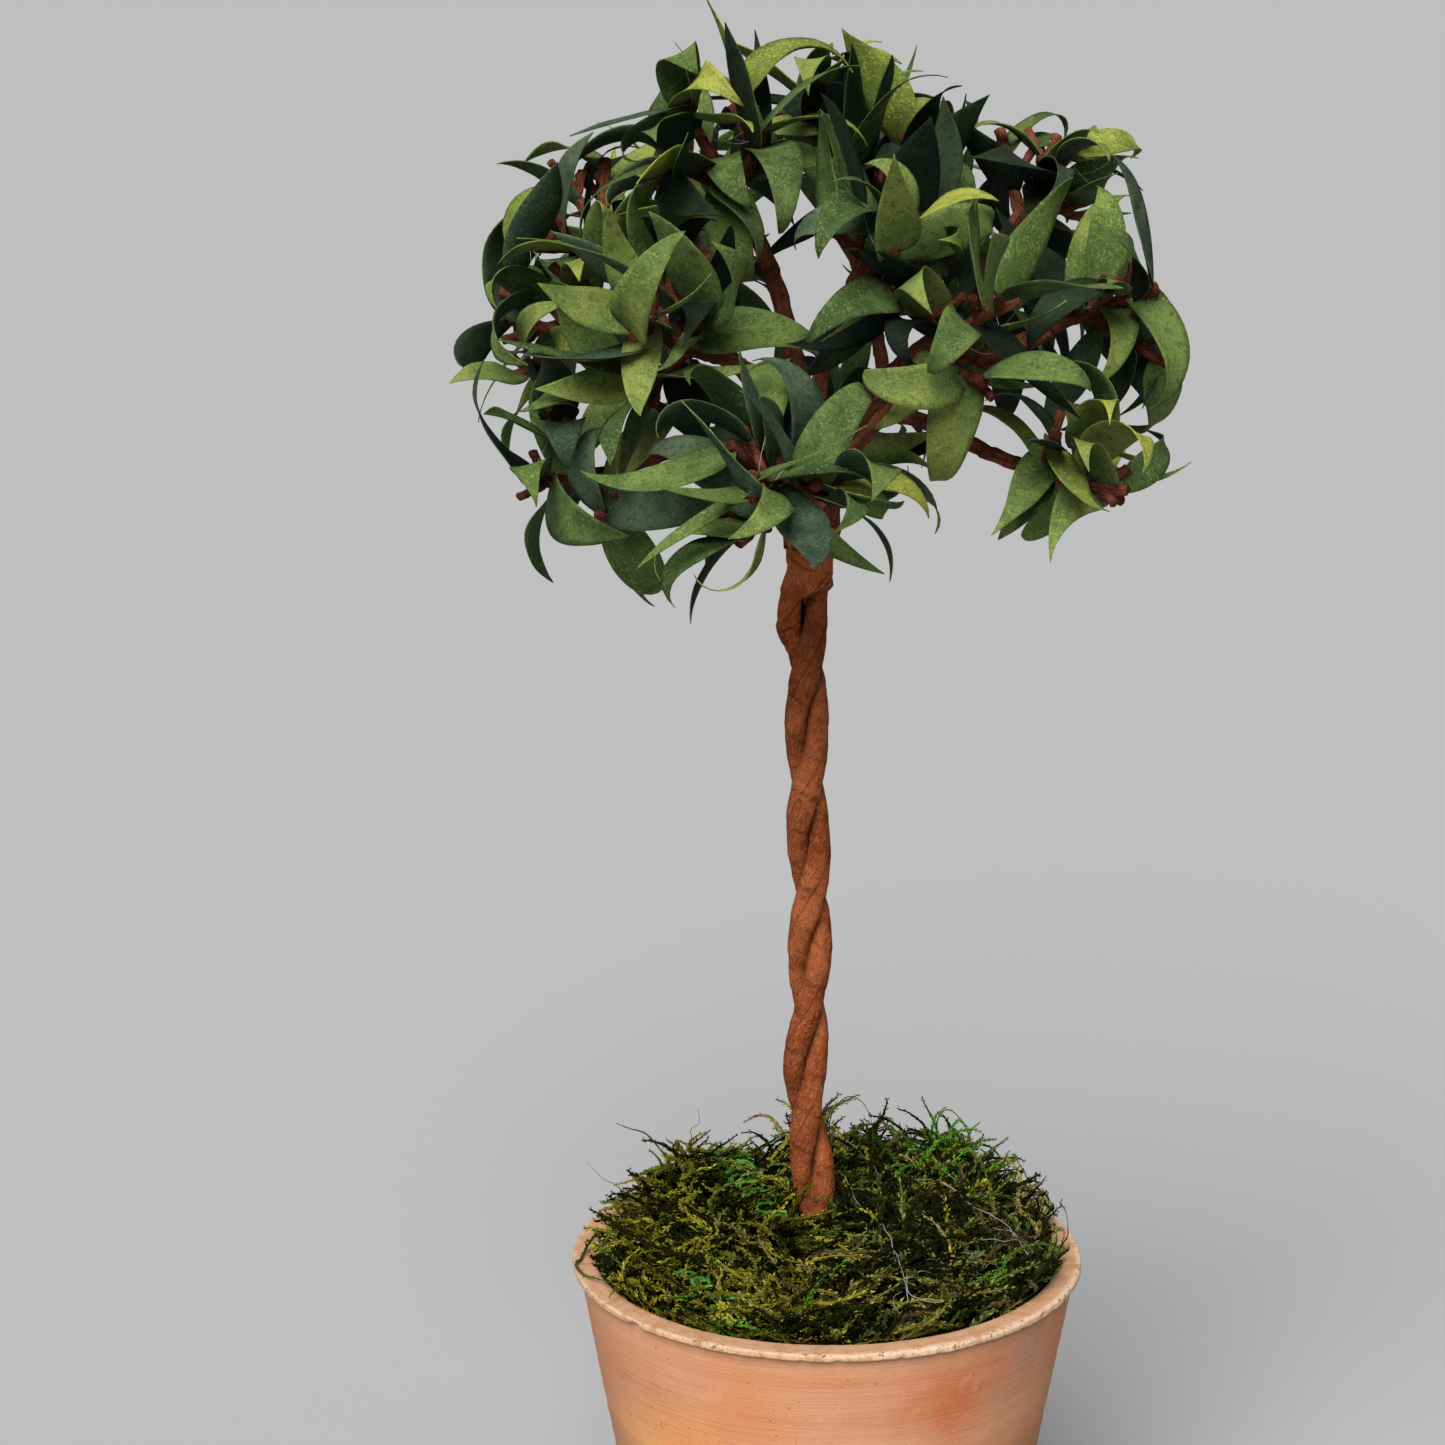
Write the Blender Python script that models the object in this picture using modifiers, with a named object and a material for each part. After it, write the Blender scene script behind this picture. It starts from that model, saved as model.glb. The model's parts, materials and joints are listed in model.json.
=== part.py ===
# A potted topiary made by hand: two taped wires twisted into a trunk, taped boughs and twigs,
# and leaves cut from crepe paper, standing in moss in a terracotta pot.
# Metres, +Z up. The origin is the centre of the pot's flat underside, and the front faces -Y.

import math
import random

import bmesh
import bpy
from mathutils import Quaternion, Vector
from mathutils.bvhtree import BVHTree

UP = Vector((0, 0, 1))
CLEAR = 0.0003  # air left between two pieces that touch

# Pot
POT_HEIGHT = 0.105
RIM_RADIUS = 0.0575
LIP_DEPTH = 0.0021
LIP_OVERHANG = 0.0016
LIP_ROUND = 0.0008
BASE_RADIUS = 0.0375
BASE_ROUND = 0.0010
WALL = 0.0055
FLOOR = 0.0070
FLOOR_FILLET = 0.0030
MOUTH_DEPTH = 0.0060  # under the rim, where the inner wall turns upright
MOUTH_STEP = 0.0006
POT_SIDES = 48

# Filler that the trunk stands on, and the moss over it
FILLER_TOP = 0.0980
MOSS_HOLE = 0.0068
MOSS_RADIUS = 0.0512
MOSS_CROWN = 0.0150  # the mound's rise over the filler near the trunk
MOSS_EDGE = 0.0080  # and near the pot's wall
MOSS_LUMP = 0.0009
MOSS_WAVES = ((1.0, 3, 9), (0.8, 7, -11), (0.6, 11, 17))  # size, waves round, waves outward
MOSS_DIP = 0.0022  # how much lower the moss lies at the pot's left and right
MOSS_BEVEL = 0.0015
MOSS_SIDE = 0.6  # the height of the mound's widest point there, as a part of the edge's height
MOSS_SIDES = 36
MOSS_RINGS = 8

# Trunk: two strands twisted right-handed, and the tape wrapped over their upper ends
STRAND_HALF_WIDTH = 0.0032
STRAND_DEPTH = 0.0046
STRAND_POINTS = 8
HALF_TURN = 0.0253
CROSSING_HEIGHT = 0.2381
STRAND_STEP = 0.0034
STRAND_FULLNESS = 0.8  # below 1 the strand's section is fuller than half an ellipse
COLLAR_FOOT = 0.2432
FORK_HEIGHT = 0.2690
TRUNK_SWAY = (
    (0.098, -0.0016), (0.118, -0.0026), (0.143, -0.0046), (0.164, -0.0038), (0.186, -0.0034),
    (0.212, -0.0040), (0.238, -0.0042), (0.250, -0.0046), (0.262, -0.0034), (0.269, -0.0032),
)
COLLAR_POINTS = 14
COLLAR_GIRTH = (
    # height, half width across the front, half depth
    (0.2432, 0.0047, 0.0044), (0.2465, 0.0054, 0.0047), (0.2509, 0.0058, 0.0050),
    (0.2552, 0.0055, 0.0052), (0.2596, 0.0048, 0.0050), (0.2639, 0.0050, 0.0051),
    (0.2690, 0.0060, 0.0060),
)

# Boughs. Those from the fork stand in a ring round the leader; the others leave a bough's side.
BOUGH_RADIUS = 0.0019
FORK_RING = 2 * BOUGH_RADIUS + CLEAR
BOUGH_POINTS = 7
SIDE_THICKNESS = 0.82  # a side bough's root against its parent there
SIDE_FOLLOWS = 0.25  # how much a side bough starts along its parent
FORK_PULL = 0.42  # how far a bough keeps to its first direction, as a part of its length
SIDE_PULL = 0.30
TIP_PULL = 0.34  # and to its last
TIP_LEVEL = 0.5  # how much a bough's tip turns outward, level
BOUGHS = (
    # name, parent, place on the parent or ring angle, tip azimuth, tip reach, tip height, tip taper
    ("leader", "fork", None, 20, 0.0100, 0.326, 0.80),
    ("right", "fork", 0, -14, 0.0480, 0.311, 0.98),
    ("back_right", "fork", 60, 48, 0.0440, 0.313, 0.80),
    ("back_left", "fork", 120, 132, 0.0440, 0.312, 0.80),
    ("left", "fork", 180, 186, 0.0450, 0.307, 0.84),
    ("top_left", "fork", 240, 218, 0.0210, 0.334, 0.80),
    ("front_right", "fork", 300, 300, 0.0360, 0.304, 0.80),
    ("right_low", "right", 0.42, -30, 0.0450, 0.284, 0.85),
    ("right_high", "right", 0.66, 6, 0.0380, 0.330, 0.85),
    ("left_low", "left", 0.42, 200, 0.0440, 0.283, 0.85),
    ("left_high", "left", 0.62, 172, 0.0430, 0.325, 0.85),
    ("back_low", "back_left", 0.36, 92, 0.0400, 0.285, 0.85),
    ("back_high", "back_right", 0.58, 84, 0.0260, 0.338, 0.85),
    ("front_low", "front_right", 0.40, 262, 0.0380, 0.283, 0.85),
    ("front_left", "top_left", 0.36, 226, 0.0330, 0.306, 0.85),
    ("front_high", "leader", 0.60, 292, 0.0240, 0.321, 0.85),
)

# The crown's space: round in plan, boxy in height, with a clear way in front of the fork and a
# gap through its middle
CROWN_HEIGHT = 0.3130
CROWN_REACH = 0.0830
CROWN_HALF_HEIGHT = 0.0635
CROWN_BOXINESS = 3.0
CROWN_OUTLINE = (
    # its reach from its middle seen from the front, every ten degrees round from +X
    0.081, 0.069, 0.073, 0.080, 0.068, 0.059, 0.060, 0.057, 0.062, 0.060, 0.057, 0.069,
    0.062, 0.059, 0.065, 0.075, 0.074, 0.077, 0.079, 0.078, 0.072, 0.077, 0.081, 0.075,
    0.065, 0.060, 0.062, 0.061, 0.048, 0.054, 0.052, 0.070, 0.071, 0.083, 0.075, 0.079,
)
NECK_RADIUS = 0.0130
NECK_TOP = 0.2660
GAPS = (
    # x, z, half width, half height
    (-0.0040, 0.3230, 0.0046, 0.0062), (-0.0030, 0.2540, 0.0125, 0.0135),
)
TIP_BEYOND = 0.0065  # how far a leaf's tip may stand out of the space
SPACE_SLACK = 0.0060  # how far past the middle line between two masses a leaf may lie

# Twigs: a stem on from the bough's tip, and twigs from the stem
STEM_LENGTH = 0.0100
STEM_RADIUS = 0.00135
TWIG_RADIUS = 0.00120
TWIG_TAPER = 0.92
TWIGS_A_MASS = 4
TWIG_STEPS = 3
TWIG_LENGTHS = (0.0130, 0.0220)
FIRST_SPREADS = (4, 20)  # degrees off the stem's own way, of the first twig and of the others
TWIG_SPREADS = (34, 66)
TWIG_LIFT = 0.10
TWIG_SUNK = 0.04  # how far before its place a twig starts, as a part of the stem
TWIG_PLACES = (0.35, 0.60)
TWIG_TURN_SLACK = 25
TWIG_TURN_STEP = 20
TWIG_ROOM = 0.0012
TWIG_BEYOND = 0.35  # part of its length past its end that must still be in the crown
TWIG_TRIES = 60
GOLDEN_ANGLE = 137.5
NECK_STEPS = (0.22, 0.24, 0.25, 0.26, FORK_HEIGHT)  # heights of the trunk's top, for what touches it
NECK_HALF_WIDTH = 0.0062

# Leaves: narrow at the root, widest before the middle, drawn out to a long tip
LEAVES_A_TWIG = 5
LEAF_PLACES = (0.24, 0.64)  # the first leaf's place on its twig, and how far on the last one is
LEAF_LENGTHS = (0.0235, 0.0335)
LEAF_WIDTHS = (0.36, 0.44)  # part of the length
LEAF_THICKNESS = 0.00034
LEAF_ROOT_POWER = 0.95
LEAF_TIP_POWER = 1.40
LEAF_CUP = (0.04, 0.12)
LEAF_CURLS = (-40, 150)
LEAF_SWEEPS = (-45, 45)
LEAF_ROLLS = (-50, 50)
LEAF_LEANS = (30, 88)
LEAF_LIFT = 0.12
LEAF_FACING = 0.8  # how much a leaf's face looks along its twig, and upward
LEAF_FACE_SLACK = 0.9
LEAF_PLACE_SLACK = (-0.05, 0.03)
LEAF_TURN_SLACK = 40
LEAF_TURN_STEP = 31
LEAF_STEPS = 12
LEAF_SECTIONS = (4, 8)  # the steps at which the solid leaf has a section
BODY_SECTIONS = (3, 6, 9)  # the part of a leaf that stays in the crown's space
TESTED_SECTIONS = ((3, 4, 8, 12), (3, 6, 9, 12))  # past the root, as solid and as the finer leaf
LEAF_TRIES = 70
NEAR_STEM = 0.050  # stems of other masses that a leaf is held against
NEAR_LEAF = 0.036  # leaves that could touch it
STANDING_SKIN = 0.00001

FLAT_ANGLE = 0.002  # radians: faces this near to flat become one

# The seeds of each mass's twigs and of its leaves, in the order of the boughs
TWIG_SEEDS = (138, 583, 186, 822, 783, 65, 262, 564, 508, 780, 599, 484, 668, 389, 808, 215)
LEAF_SEEDS = (868, 818, 631, 596, 998, 496, 504, 548, 220, 403, 308, 134, 347, 506, 24, 409)


FINISHES = {
    # colour, roughness
    "terracotta": ((0.62, 0.29, 0.16), 0.85),
    "filler": ((0.16, 0.11, 0.07), 0.95),
    "moss": ((0.10, 0.13, 0.03), 0.95),
    "tape": ((0.30, 0.11, 0.055), 0.80),
    "leaf": ((0.06, 0.13, 0.035), 0.55),
}


def finish(piece, kind):
    """Gives a piece its own material."""
    colour, roughness = FINISHES[kind]
    material = bpy.data.materials.new(piece.name)
    material.use_nodes = True
    shader = material.node_tree.nodes["Principled BSDF"]
    shader.inputs["Base Color"].default_value = (*colour, 1)
    shader.inputs["Roughness"].default_value = roughness
    shader.inputs["Metallic"].default_value = 0.0
    piece.data.materials.clear()
    piece.data.materials.append(material)


def solid(name, points, faces, kind, collection):
    """A closed mesh from points and faces, its faces turned outward."""
    mesh = bpy.data.meshes.new(name)
    mesh.from_pydata(points, [], faces)
    work = bmesh.new()
    work.from_mesh(mesh)
    bmesh.ops.triangulate(work, faces=work.faces)
    bmesh.ops.recalc_face_normals(work, faces=work.faces)
    work.to_mesh(mesh)
    work.free()
    piece = bpy.data.objects.new(name, mesh)
    collection.objects.link(piece)
    finish(piece, kind)
    return piece


def turned(name, profile, kind, collection):
    """A profile in the XZ plane turned about Z. It ends at +X's outer side, top to bottom."""
    mesh = bpy.data.meshes.new(name)
    edges = [(k, k + 1) for k in range(len(profile) - 1)]
    mesh.from_pydata([(r, 0, z) for r, z in profile], edges, [])
    piece = bpy.data.objects.new(name, mesh)
    collection.objects.link(piece)
    screw = piece.modifiers.new("Turn", "SCREW")
    screw.steps = POT_SIDES
    screw.render_steps = POT_SIDES
    screw.use_merge_vertices = True
    screw.merge_threshold = 0.00001
    screw.use_smooth_shade = True
    finish(piece, kind)
    return piece


def loft(rings):
    """Faces between rings of equal count, with a flat cap on the first and the last."""
    count = len(rings[0])
    points = [point for ring in rings for point in ring]
    faces = [tuple(range(count))[::-1], tuple(range(len(points) - count, len(points)))]
    for row in range(len(rings) - 1):
        for k in range(count):
            a = row * count + k
            b = row * count + (k + 1) % count
            faces.append((a, b, b + count, a + count))
    return points, faces


def between(table, at):
    """The second value of a table's rows, read at a first value, smoothly between the rows."""
    if at <= table[0][0]:
        return table[0][1]
    for low, high in zip(table, table[1:]):
        if at <= high[0]:
            t = (at - low[0]) / (high[0] - low[0])
            t = t * t * (3 - 2 * t)
            return low[1] + (high[1] - low[1]) * t
    return table[-1][1]


# Pot, filler and moss

def wall_radius(height):
    """The pot's outer wall under its lip."""
    top = RIM_RADIUS - LIP_OVERHANG
    return BASE_RADIUS + (top - BASE_RADIUS) * height / (POT_HEIGHT - LIP_DEPTH)


def make_pot(collection):
    lip_foot = POT_HEIGHT - LIP_DEPTH
    inner_top = RIM_RADIUS - WALL
    inner_foot = wall_radius(FLOOR) - WALL
    profile = [
        (0, FLOOR),
        (inner_foot - FLOOR_FILLET, FLOOR),
        (inner_foot, FLOOR + FLOOR_FILLET),
        (inner_top - MOUTH_STEP, POT_HEIGHT - MOUTH_DEPTH),
        (inner_top, POT_HEIGHT - LIP_ROUND),
        (inner_top + LIP_ROUND, POT_HEIGHT),
        (RIM_RADIUS - LIP_ROUND, POT_HEIGHT),
        (RIM_RADIUS, POT_HEIGHT - LIP_ROUND),
        (RIM_RADIUS, lip_foot + LIP_ROUND / 2),
        (RIM_RADIUS - LIP_ROUND, lip_foot - LIP_ROUND / 4),
        (wall_radius(lip_foot - LIP_ROUND), lip_foot - LIP_ROUND),
        (wall_radius(BASE_ROUND), BASE_ROUND),
        (BASE_RADIUS - BASE_ROUND, 0),
        (0, 0),
    ]
    return turned("pot", profile, "terracotta", collection)


def make_filler(collection):
    inner_foot = wall_radius(FLOOR) - WALL
    inner_top = RIM_RADIUS - WALL - MOUTH_STEP
    low = FLOOR + FLOOR_FILLET
    high = POT_HEIGHT - MOUTH_DEPTH
    top_radius = inner_foot + (inner_top - inner_foot) * (FILLER_TOP - low) / (high - low)
    profile = [
        (0, FILLER_TOP),
        (top_radius - 2 * CLEAR, FILLER_TOP),
        (inner_foot - 2 * CLEAR, low),
        (inner_foot - FLOOR_FILLET - CLEAR, FLOOR + CLEAR),
        (0, FLOOR + CLEAR),
    ]
    return turned("filler", profile, "filler", collection)


def moss_height(part, turn):
    """The mound's top over the filler, from the trunk (part 0) to the wall (part 1)."""
    mound = MOSS_EDGE + (MOSS_CROWN - MOSS_EDGE) * (1 - part ** 2.2)
    lumps = sum(
        size * math.sin(round_turns * turn + out_turns * part)
        for size, round_turns, out_turns in MOSS_WAVES
    )
    dip = MOSS_DIP * part ** 4 * math.cos(turn) ** 4
    return mound + MOSS_LUMP * lumps * (1 - 0.5 * part) - dip


def make_moss(collection):
    foot = FILLER_TOP + CLEAR
    sections = []
    for side in range(MOSS_SIDES):
        turn = 2 * math.pi * side / MOSS_SIDES
        across = Vector((math.cos(turn), math.sin(turn), 0))
        section = [(MOSS_HOLE, foot)]
        for ring in range(MOSS_RINGS):
            part = ring / (MOSS_RINGS - 1)
            radius = MOSS_HOLE + (MOSS_RADIUS - MOSS_BEVEL - MOSS_HOLE) * part
            section.append((radius, foot + moss_height(part, turn)))
        section.append((MOSS_RADIUS, foot + MOSS_SIDE * moss_height(1, turn)))
        section.append((MOSS_RADIUS - MOSS_BEVEL / 2, foot))
        hub = Vector((between(TRUNK_SWAY, foot), 0, 0))
        points = []
        for radius, height in section:
            shift = hub * (1 - (radius - MOSS_HOLE) / (MOSS_RADIUS - MOSS_HOLE))
            points.append(across * radius + shift + UP * height)
        sections.append(points)
    count = len(sections[0])
    points = [point for section in sections for point in section]
    faces = []
    for side in range(MOSS_SIDES):
        after = (side + 1) % MOSS_SIDES
        for k in range(count):
            n = (k + 1) % count
            faces.append((side * count + k, side * count + n, after * count + n, after * count + k))
    return solid("moss", points, faces, "moss", collection)


# Trunk

def make_strand(name, side, collection):
    """One strand: a D-shaped section, its flat toward the other strand, twisted as it rises."""
    foot = FILLER_TOP + CLEAR
    top = COLLAR_FOOT - CLEAR
    steps = round((top - foot) / STRAND_STEP)
    rings = []
    for step in range(steps + 1):
        height = foot + (top - foot) * step / steps
        phase = math.pi * ((height - CROSSING_HEIGHT) / HALF_TURN - 0.5 + side)
        out = Vector((math.cos(phase), math.sin(phase), 0))
        along = Vector((-math.sin(phase), math.cos(phase), 0))
        middle = Vector((between(TRUNK_SWAY, height), 0, height))
        ring = []
        for k in range(STRAND_POINTS):
            a = math.pi * (k / (STRAND_POINTS - 1) - 0.5)
            reach = CLEAR / 2 + (STRAND_DEPTH - CLEAR / 2) * max(0.0, math.cos(a)) ** STRAND_FULLNESS
            ring.append(middle + out * reach + along * STRAND_HALF_WIDTH * math.sin(a))
        rings.append(ring)
    return solid(name, *loft(rings), "tape", collection)


def make_collar(collection):
    rings = []
    for height, half_width, half_depth in COLLAR_GIRTH:
        middle = Vector((between(TRUNK_SWAY, height), 0, height))
        ring = []
        for k in range(COLLAR_POINTS):
            a = 2 * math.pi * k / COLLAR_POINTS
            ring.append(middle + Vector((half_width * math.cos(a), half_depth * math.sin(a), 0)))
        rings.append(ring)
    return solid("trunk_collar", *loft(rings), "tape", collection)


# Boughs

def polar(azimuth, reach, height):
    turn = math.radians(azimuth)
    return Vector((reach * math.cos(turn), reach * math.sin(turn), height))


def curve_point(ends, t):
    """A point of the cubic curve through four control points."""
    a, b, c, d = ends
    u = 1 - t
    return a * u ** 3 + b * 3 * u * u * t + c * 3 * u * t * t + d * t ** 3


def lay_out_boughs():
    """Each bough's centre line and its radii, by name."""
    fork = Vector((between(TRUNK_SWAY, FORK_HEIGHT), 0, FORK_HEIGHT + CLEAR))
    laid = {}
    for name, parent, place, azimuth, reach, height, taper in BOUGHS:
        tip = polar(azimuth, reach, height)
        if parent == "fork":
            root = fork if place is None else fork + polar(place, FORK_RING, 0)
            start = UP
            radius = BOUGH_RADIUS
        else:
            line, radii = laid[parent]
            at = place * (BOUGH_POINTS - 1)
            low = int(at)
            on = line[low].lerp(line[low + 1], at - low)
            stem = (line[low + 1] - line[low]).normalized()
            here = radii[low] + (radii[low + 1] - radii[low]) * (at - low)
            radius = here * SIDE_THICKNESS
            start = ((tip - on).normalized() + stem * SIDE_FOLLOWS).normalized()
            lean = stem.angle(start)
            root = on + start * ((here + CLEAR + radius * math.cos(lean)) / math.sin(lean))
        length = (tip - root).length
        finish_way = ((tip - root).normalized() + polar(azimuth, TIP_LEVEL, 0)).normalized()
        pull = FORK_PULL if parent == "fork" else SIDE_PULL
        ends = (root, root + start * length * pull, tip - finish_way * length * TIP_PULL, tip)
        line = [curve_point(ends, k / (BOUGH_POINTS - 1)) for k in range(BOUGH_POINTS)]
        radii = [
            radius * (1 + (taper - 1) * k / (BOUGH_POINTS - 1)) for k in range(BOUGH_POINTS)
        ]
        laid[name] = (line, radii)
    return laid


def tube(name, line, radii, sides, kind, collection):
    """A round limb along a line, made as a bevelled curve and kept as a closed mesh."""
    curve = bpy.data.curves.new(name, "CURVE")
    curve.dimensions = "3D"
    curve.bevel_depth = 1.0
    curve.bevel_resolution = (sides - 4) // 2
    curve.use_fill_caps = True
    spline = curve.splines.new("POLY")
    spline.points.add(len(line) - 1)
    for point, where, radius in zip(spline.points, line, radii):
        point.co = (*where, 1)
        point.radius = radius
    guide = bpy.data.objects.new(name + "_guide", curve)
    collection.objects.link(guide)
    bpy.context.view_layer.update()
    graph = bpy.context.evaluated_depsgraph_get()
    mesh = bpy.data.meshes.new_from_object(guide.evaluated_get(graph))
    work = bmesh.new()
    work.from_mesh(mesh)
    bmesh.ops.remove_doubles(work, verts=work.verts, dist=0.00001)
    bmesh.ops.triangulate(work, faces=work.faces)
    bmesh.ops.recalc_face_normals(work, faces=work.faces)
    work.to_mesh(mesh)
    work.free()
    mesh.name = name
    piece = bpy.data.objects.new(name, mesh)
    piece.matrix_world = guide.matrix_world
    bpy.data.objects.remove(guide, do_unlink=True)
    collection.objects.link(piece)
    finish(piece, kind)
    return piece


# The rule by which a mass of foliage grows

def sleeve(line, radii, extra):
    """A five-sided tube round a line, as points and faces, for testing what a limb touches."""
    sides = 5
    rings = []
    for k, point in enumerate(line):
        way = (line[min(k + 1, len(line) - 1)] - line[max(k - 1, 0)]).normalized()
        across = way.orthogonal().normalized()
        over = way.cross(across)
        radius = radii[k] + extra
        ring = []
        for side in range(sides):
            a = 2 * math.pi * side / sides
            ring.append(point + (across * math.cos(a) + over * math.sin(a)) * radius)
        rings.append(ring)
    return loft(rings)


def tree_of(shape):
    points, faces = shape
    return BVHTree.FromPolygons(points, faces)


def outline(turn):
    """The crown's reach at an angle in radians, seen from the front."""
    at = (turn / (2 * math.pi) * len(CROWN_OUTLINE)) % len(CROWN_OUTLINE)
    low = int(at)
    after = CROWN_OUTLINE[(low + 1) % len(CROWN_OUTLINE)]
    return CROWN_OUTLINE[low] + (after - CROWN_OUTLINE[low]) * (at - low)


def in_crown(point, beyond=0.0):
    """True where the crown may have leaves."""
    over = point.z - CROWN_HEIGHT
    if math.hypot(point.x, over) > outline(math.atan2(over, point.x)) + beyond:
        return False
    rho = math.hypot(point.x, point.y)
    out = (rho / (CROWN_REACH + beyond)) ** CROWN_BOXINESS
    if out + (abs(over) / (CROWN_HALF_HEIGHT + beyond / 4)) ** CROWN_BOXINESS > 1:
        return False
    if rho < NECK_RADIUS and point.z < NECK_TOP:
        return False
    for x, z, half_width, half_height in GAPS:
        if ((point.x - x) / half_width) ** 2 + ((point.z - z) / half_height) ** 2 < 1:
            return False
    return True


def reach_from(point, line):
    """How far a point lies from a line of points."""
    best = 1.0
    for a, b in zip(line, line[1:]):
        span = b - a
        t = max(0.0, min(1.0, (point - a).dot(span) / span.length_squared))
        best = min(best, (point - a - span * t).length)
    return best


def grow_twigs(seed, line, taken):
    """The stem that goes on from a bough, and its twigs, each a line with radii."""
    draw = random.Random(seed)
    way = (line[-1] - line[-2]).normalized()
    foot = line[-1] + way * CLEAR
    stem = [foot + way * STEM_LENGTH * k / 2 for k in range(3)]
    limbs = [(stem, [STEM_RADIUS] * 3)]
    side = way.orthogonal().normalized()
    first = draw.uniform(0, 360)
    for number in range(TWIGS_A_MASS):
        for attempt in range(TWIG_TRIES):
            spread = draw.uniform(*(TWIG_SPREADS if number else FIRST_SPREADS))
            slack = draw.uniform(-TWIG_TURN_SLACK, TWIG_TURN_SLACK)
            turn = first + GOLDEN_ANGLE * number + slack + TWIG_TURN_STEP * attempt
            length = draw.uniform(*TWIG_LENGTHS)
            place = TWIG_PLACES[0] + TWIG_PLACES[1] * number / TWIGS_A_MASS if number else 1.0
            out = Quaternion(way, math.radians(turn)) @ side
            aim = way * math.cos(math.radians(spread)) + out * math.sin(math.radians(spread))
            root = foot + way * STEM_LENGTH * (place - TWIG_SUNK)
            parts = [k / TWIG_STEPS for k in range(TWIG_STEPS + 1)]
            twig = [root + (aim * t + UP * TWIG_LIFT * t * t) * length for t in parts]
            radii = [TWIG_RADIUS * (1 + (TWIG_TAPER - 1) * t) for t in parts]
            free = tree_of(sleeve(twig[1:], radii[1:], TWIG_ROOM))
            beyond = [point + (point - twig[0]) * TWIG_BEYOND for point in twig[2:]]
            if not all(in_crown(point) for point in beyond):
                continue
            if any(free.overlap(other) for other in taken):
                continue
            limbs.append((twig, radii))
            taken.append(tree_of(sleeve(twig[1:], radii[1:], 0)))
            break
    taken.append(tree_of(sleeve(stem, [STEM_RADIUS] * 3, 0)))
    return limbs


def blade_width(part):
    """The blade's width along its length, as a part of its greatest width."""
    peak = LEAF_ROOT_POWER / (LEAF_ROOT_POWER + LEAF_TIP_POWER)
    root = (part / peak) ** LEAF_ROOT_POWER
    return root * ((1 - part) / (1 - peak)) ** LEAF_TIP_POWER


def leaf_stations(root, aim, face, length, curl, sweep, roll):
    """The midrib's points, each with the direction across the blade and the blade's face."""
    point = root.copy()
    tangent = aim.copy()
    normal = face.copy()
    stations = []
    for step in range(LEAF_STEPS + 1):
        stations.append((point.copy(), tangent.cross(normal), normal.copy()))
        part = (step + 0.5) / LEAF_STEPS
        across = tangent.cross(normal)
        bend = Quaternion(across, math.radians(-curl * 2 * part / LEAF_STEPS))
        side = Quaternion(normal, math.radians(sweep * 2 * part / LEAF_STEPS))
        twist = Quaternion(tangent, math.radians(roll / LEAF_STEPS))
        turn = twist @ side @ bend
        tangent = (turn @ tangent).normalized()
        normal = (turn @ normal).normalized()
        point = point + tangent * length / LEAF_STEPS
    return stations


def raised_split(points, corners):
    """Two triangles of a four-cornered face, split so that the fold between them stands out."""
    a, b, c, d = corners
    outward = (points[b] - points[a]).cross(points[c] - points[a])
    if outward.dot(points[d] - points[a]) < 0:
        return [(a, b, c), (a, c, d)]
    return [(a, b, d), (b, c, d)]


def leaf_shape(stations, width, cup, sections, extra):
    """A leaf's points and faces: three-cornered sections between its root and its tip."""
    rings = []
    for step in sections:
        point, across, normal = stations[step]
        half = width * blade_width(step / LEAF_STEPS) / 2
        edge = normal * (half * 2 * cup + extra)
        rings.append([
            point + across * (half + 2 * extra) + edge,
            point - across * (half + 2 * extra) + edge,
            point - normal * (LEAF_THICKNESS + extra),
        ])
    points = [point for ring in rings for point in ring]
    faces = []
    for row in range(len(rings) - 1):
        for k in range(3):
            a = row * 3 + k
            b = row * 3 + (k + 1) % 3
            faces += raised_split(points, (b, a, a + 3, b + 3))
    if extra:
        last = len(points) - 3
        return points, faces + [(0, 1, 2), (last + 2, last + 1, last)]
    points += [stations[0][0], stations[-1][0]]
    root, tip = len(points) - 2, len(points) - 1
    last = len(points) - 5
    for k in range(3):
        n = (k + 1) % 3
        faces += [(k, n, root), (last + n, last + k, tip)]
    return points, faces


def tested_shape(stations, width, cup, extra):
    """What a leaf must have to itself."""
    points, faces = leaf_shape(stations, width, cup, TESTED_SECTIONS[0], extra)
    more, finer = leaf_shape(stations, width, cup, TESTED_SECTIONS[1], extra)
    count = len(points)
    return points + more, faces + [tuple(k + count for k in face) for face in finer]


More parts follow.
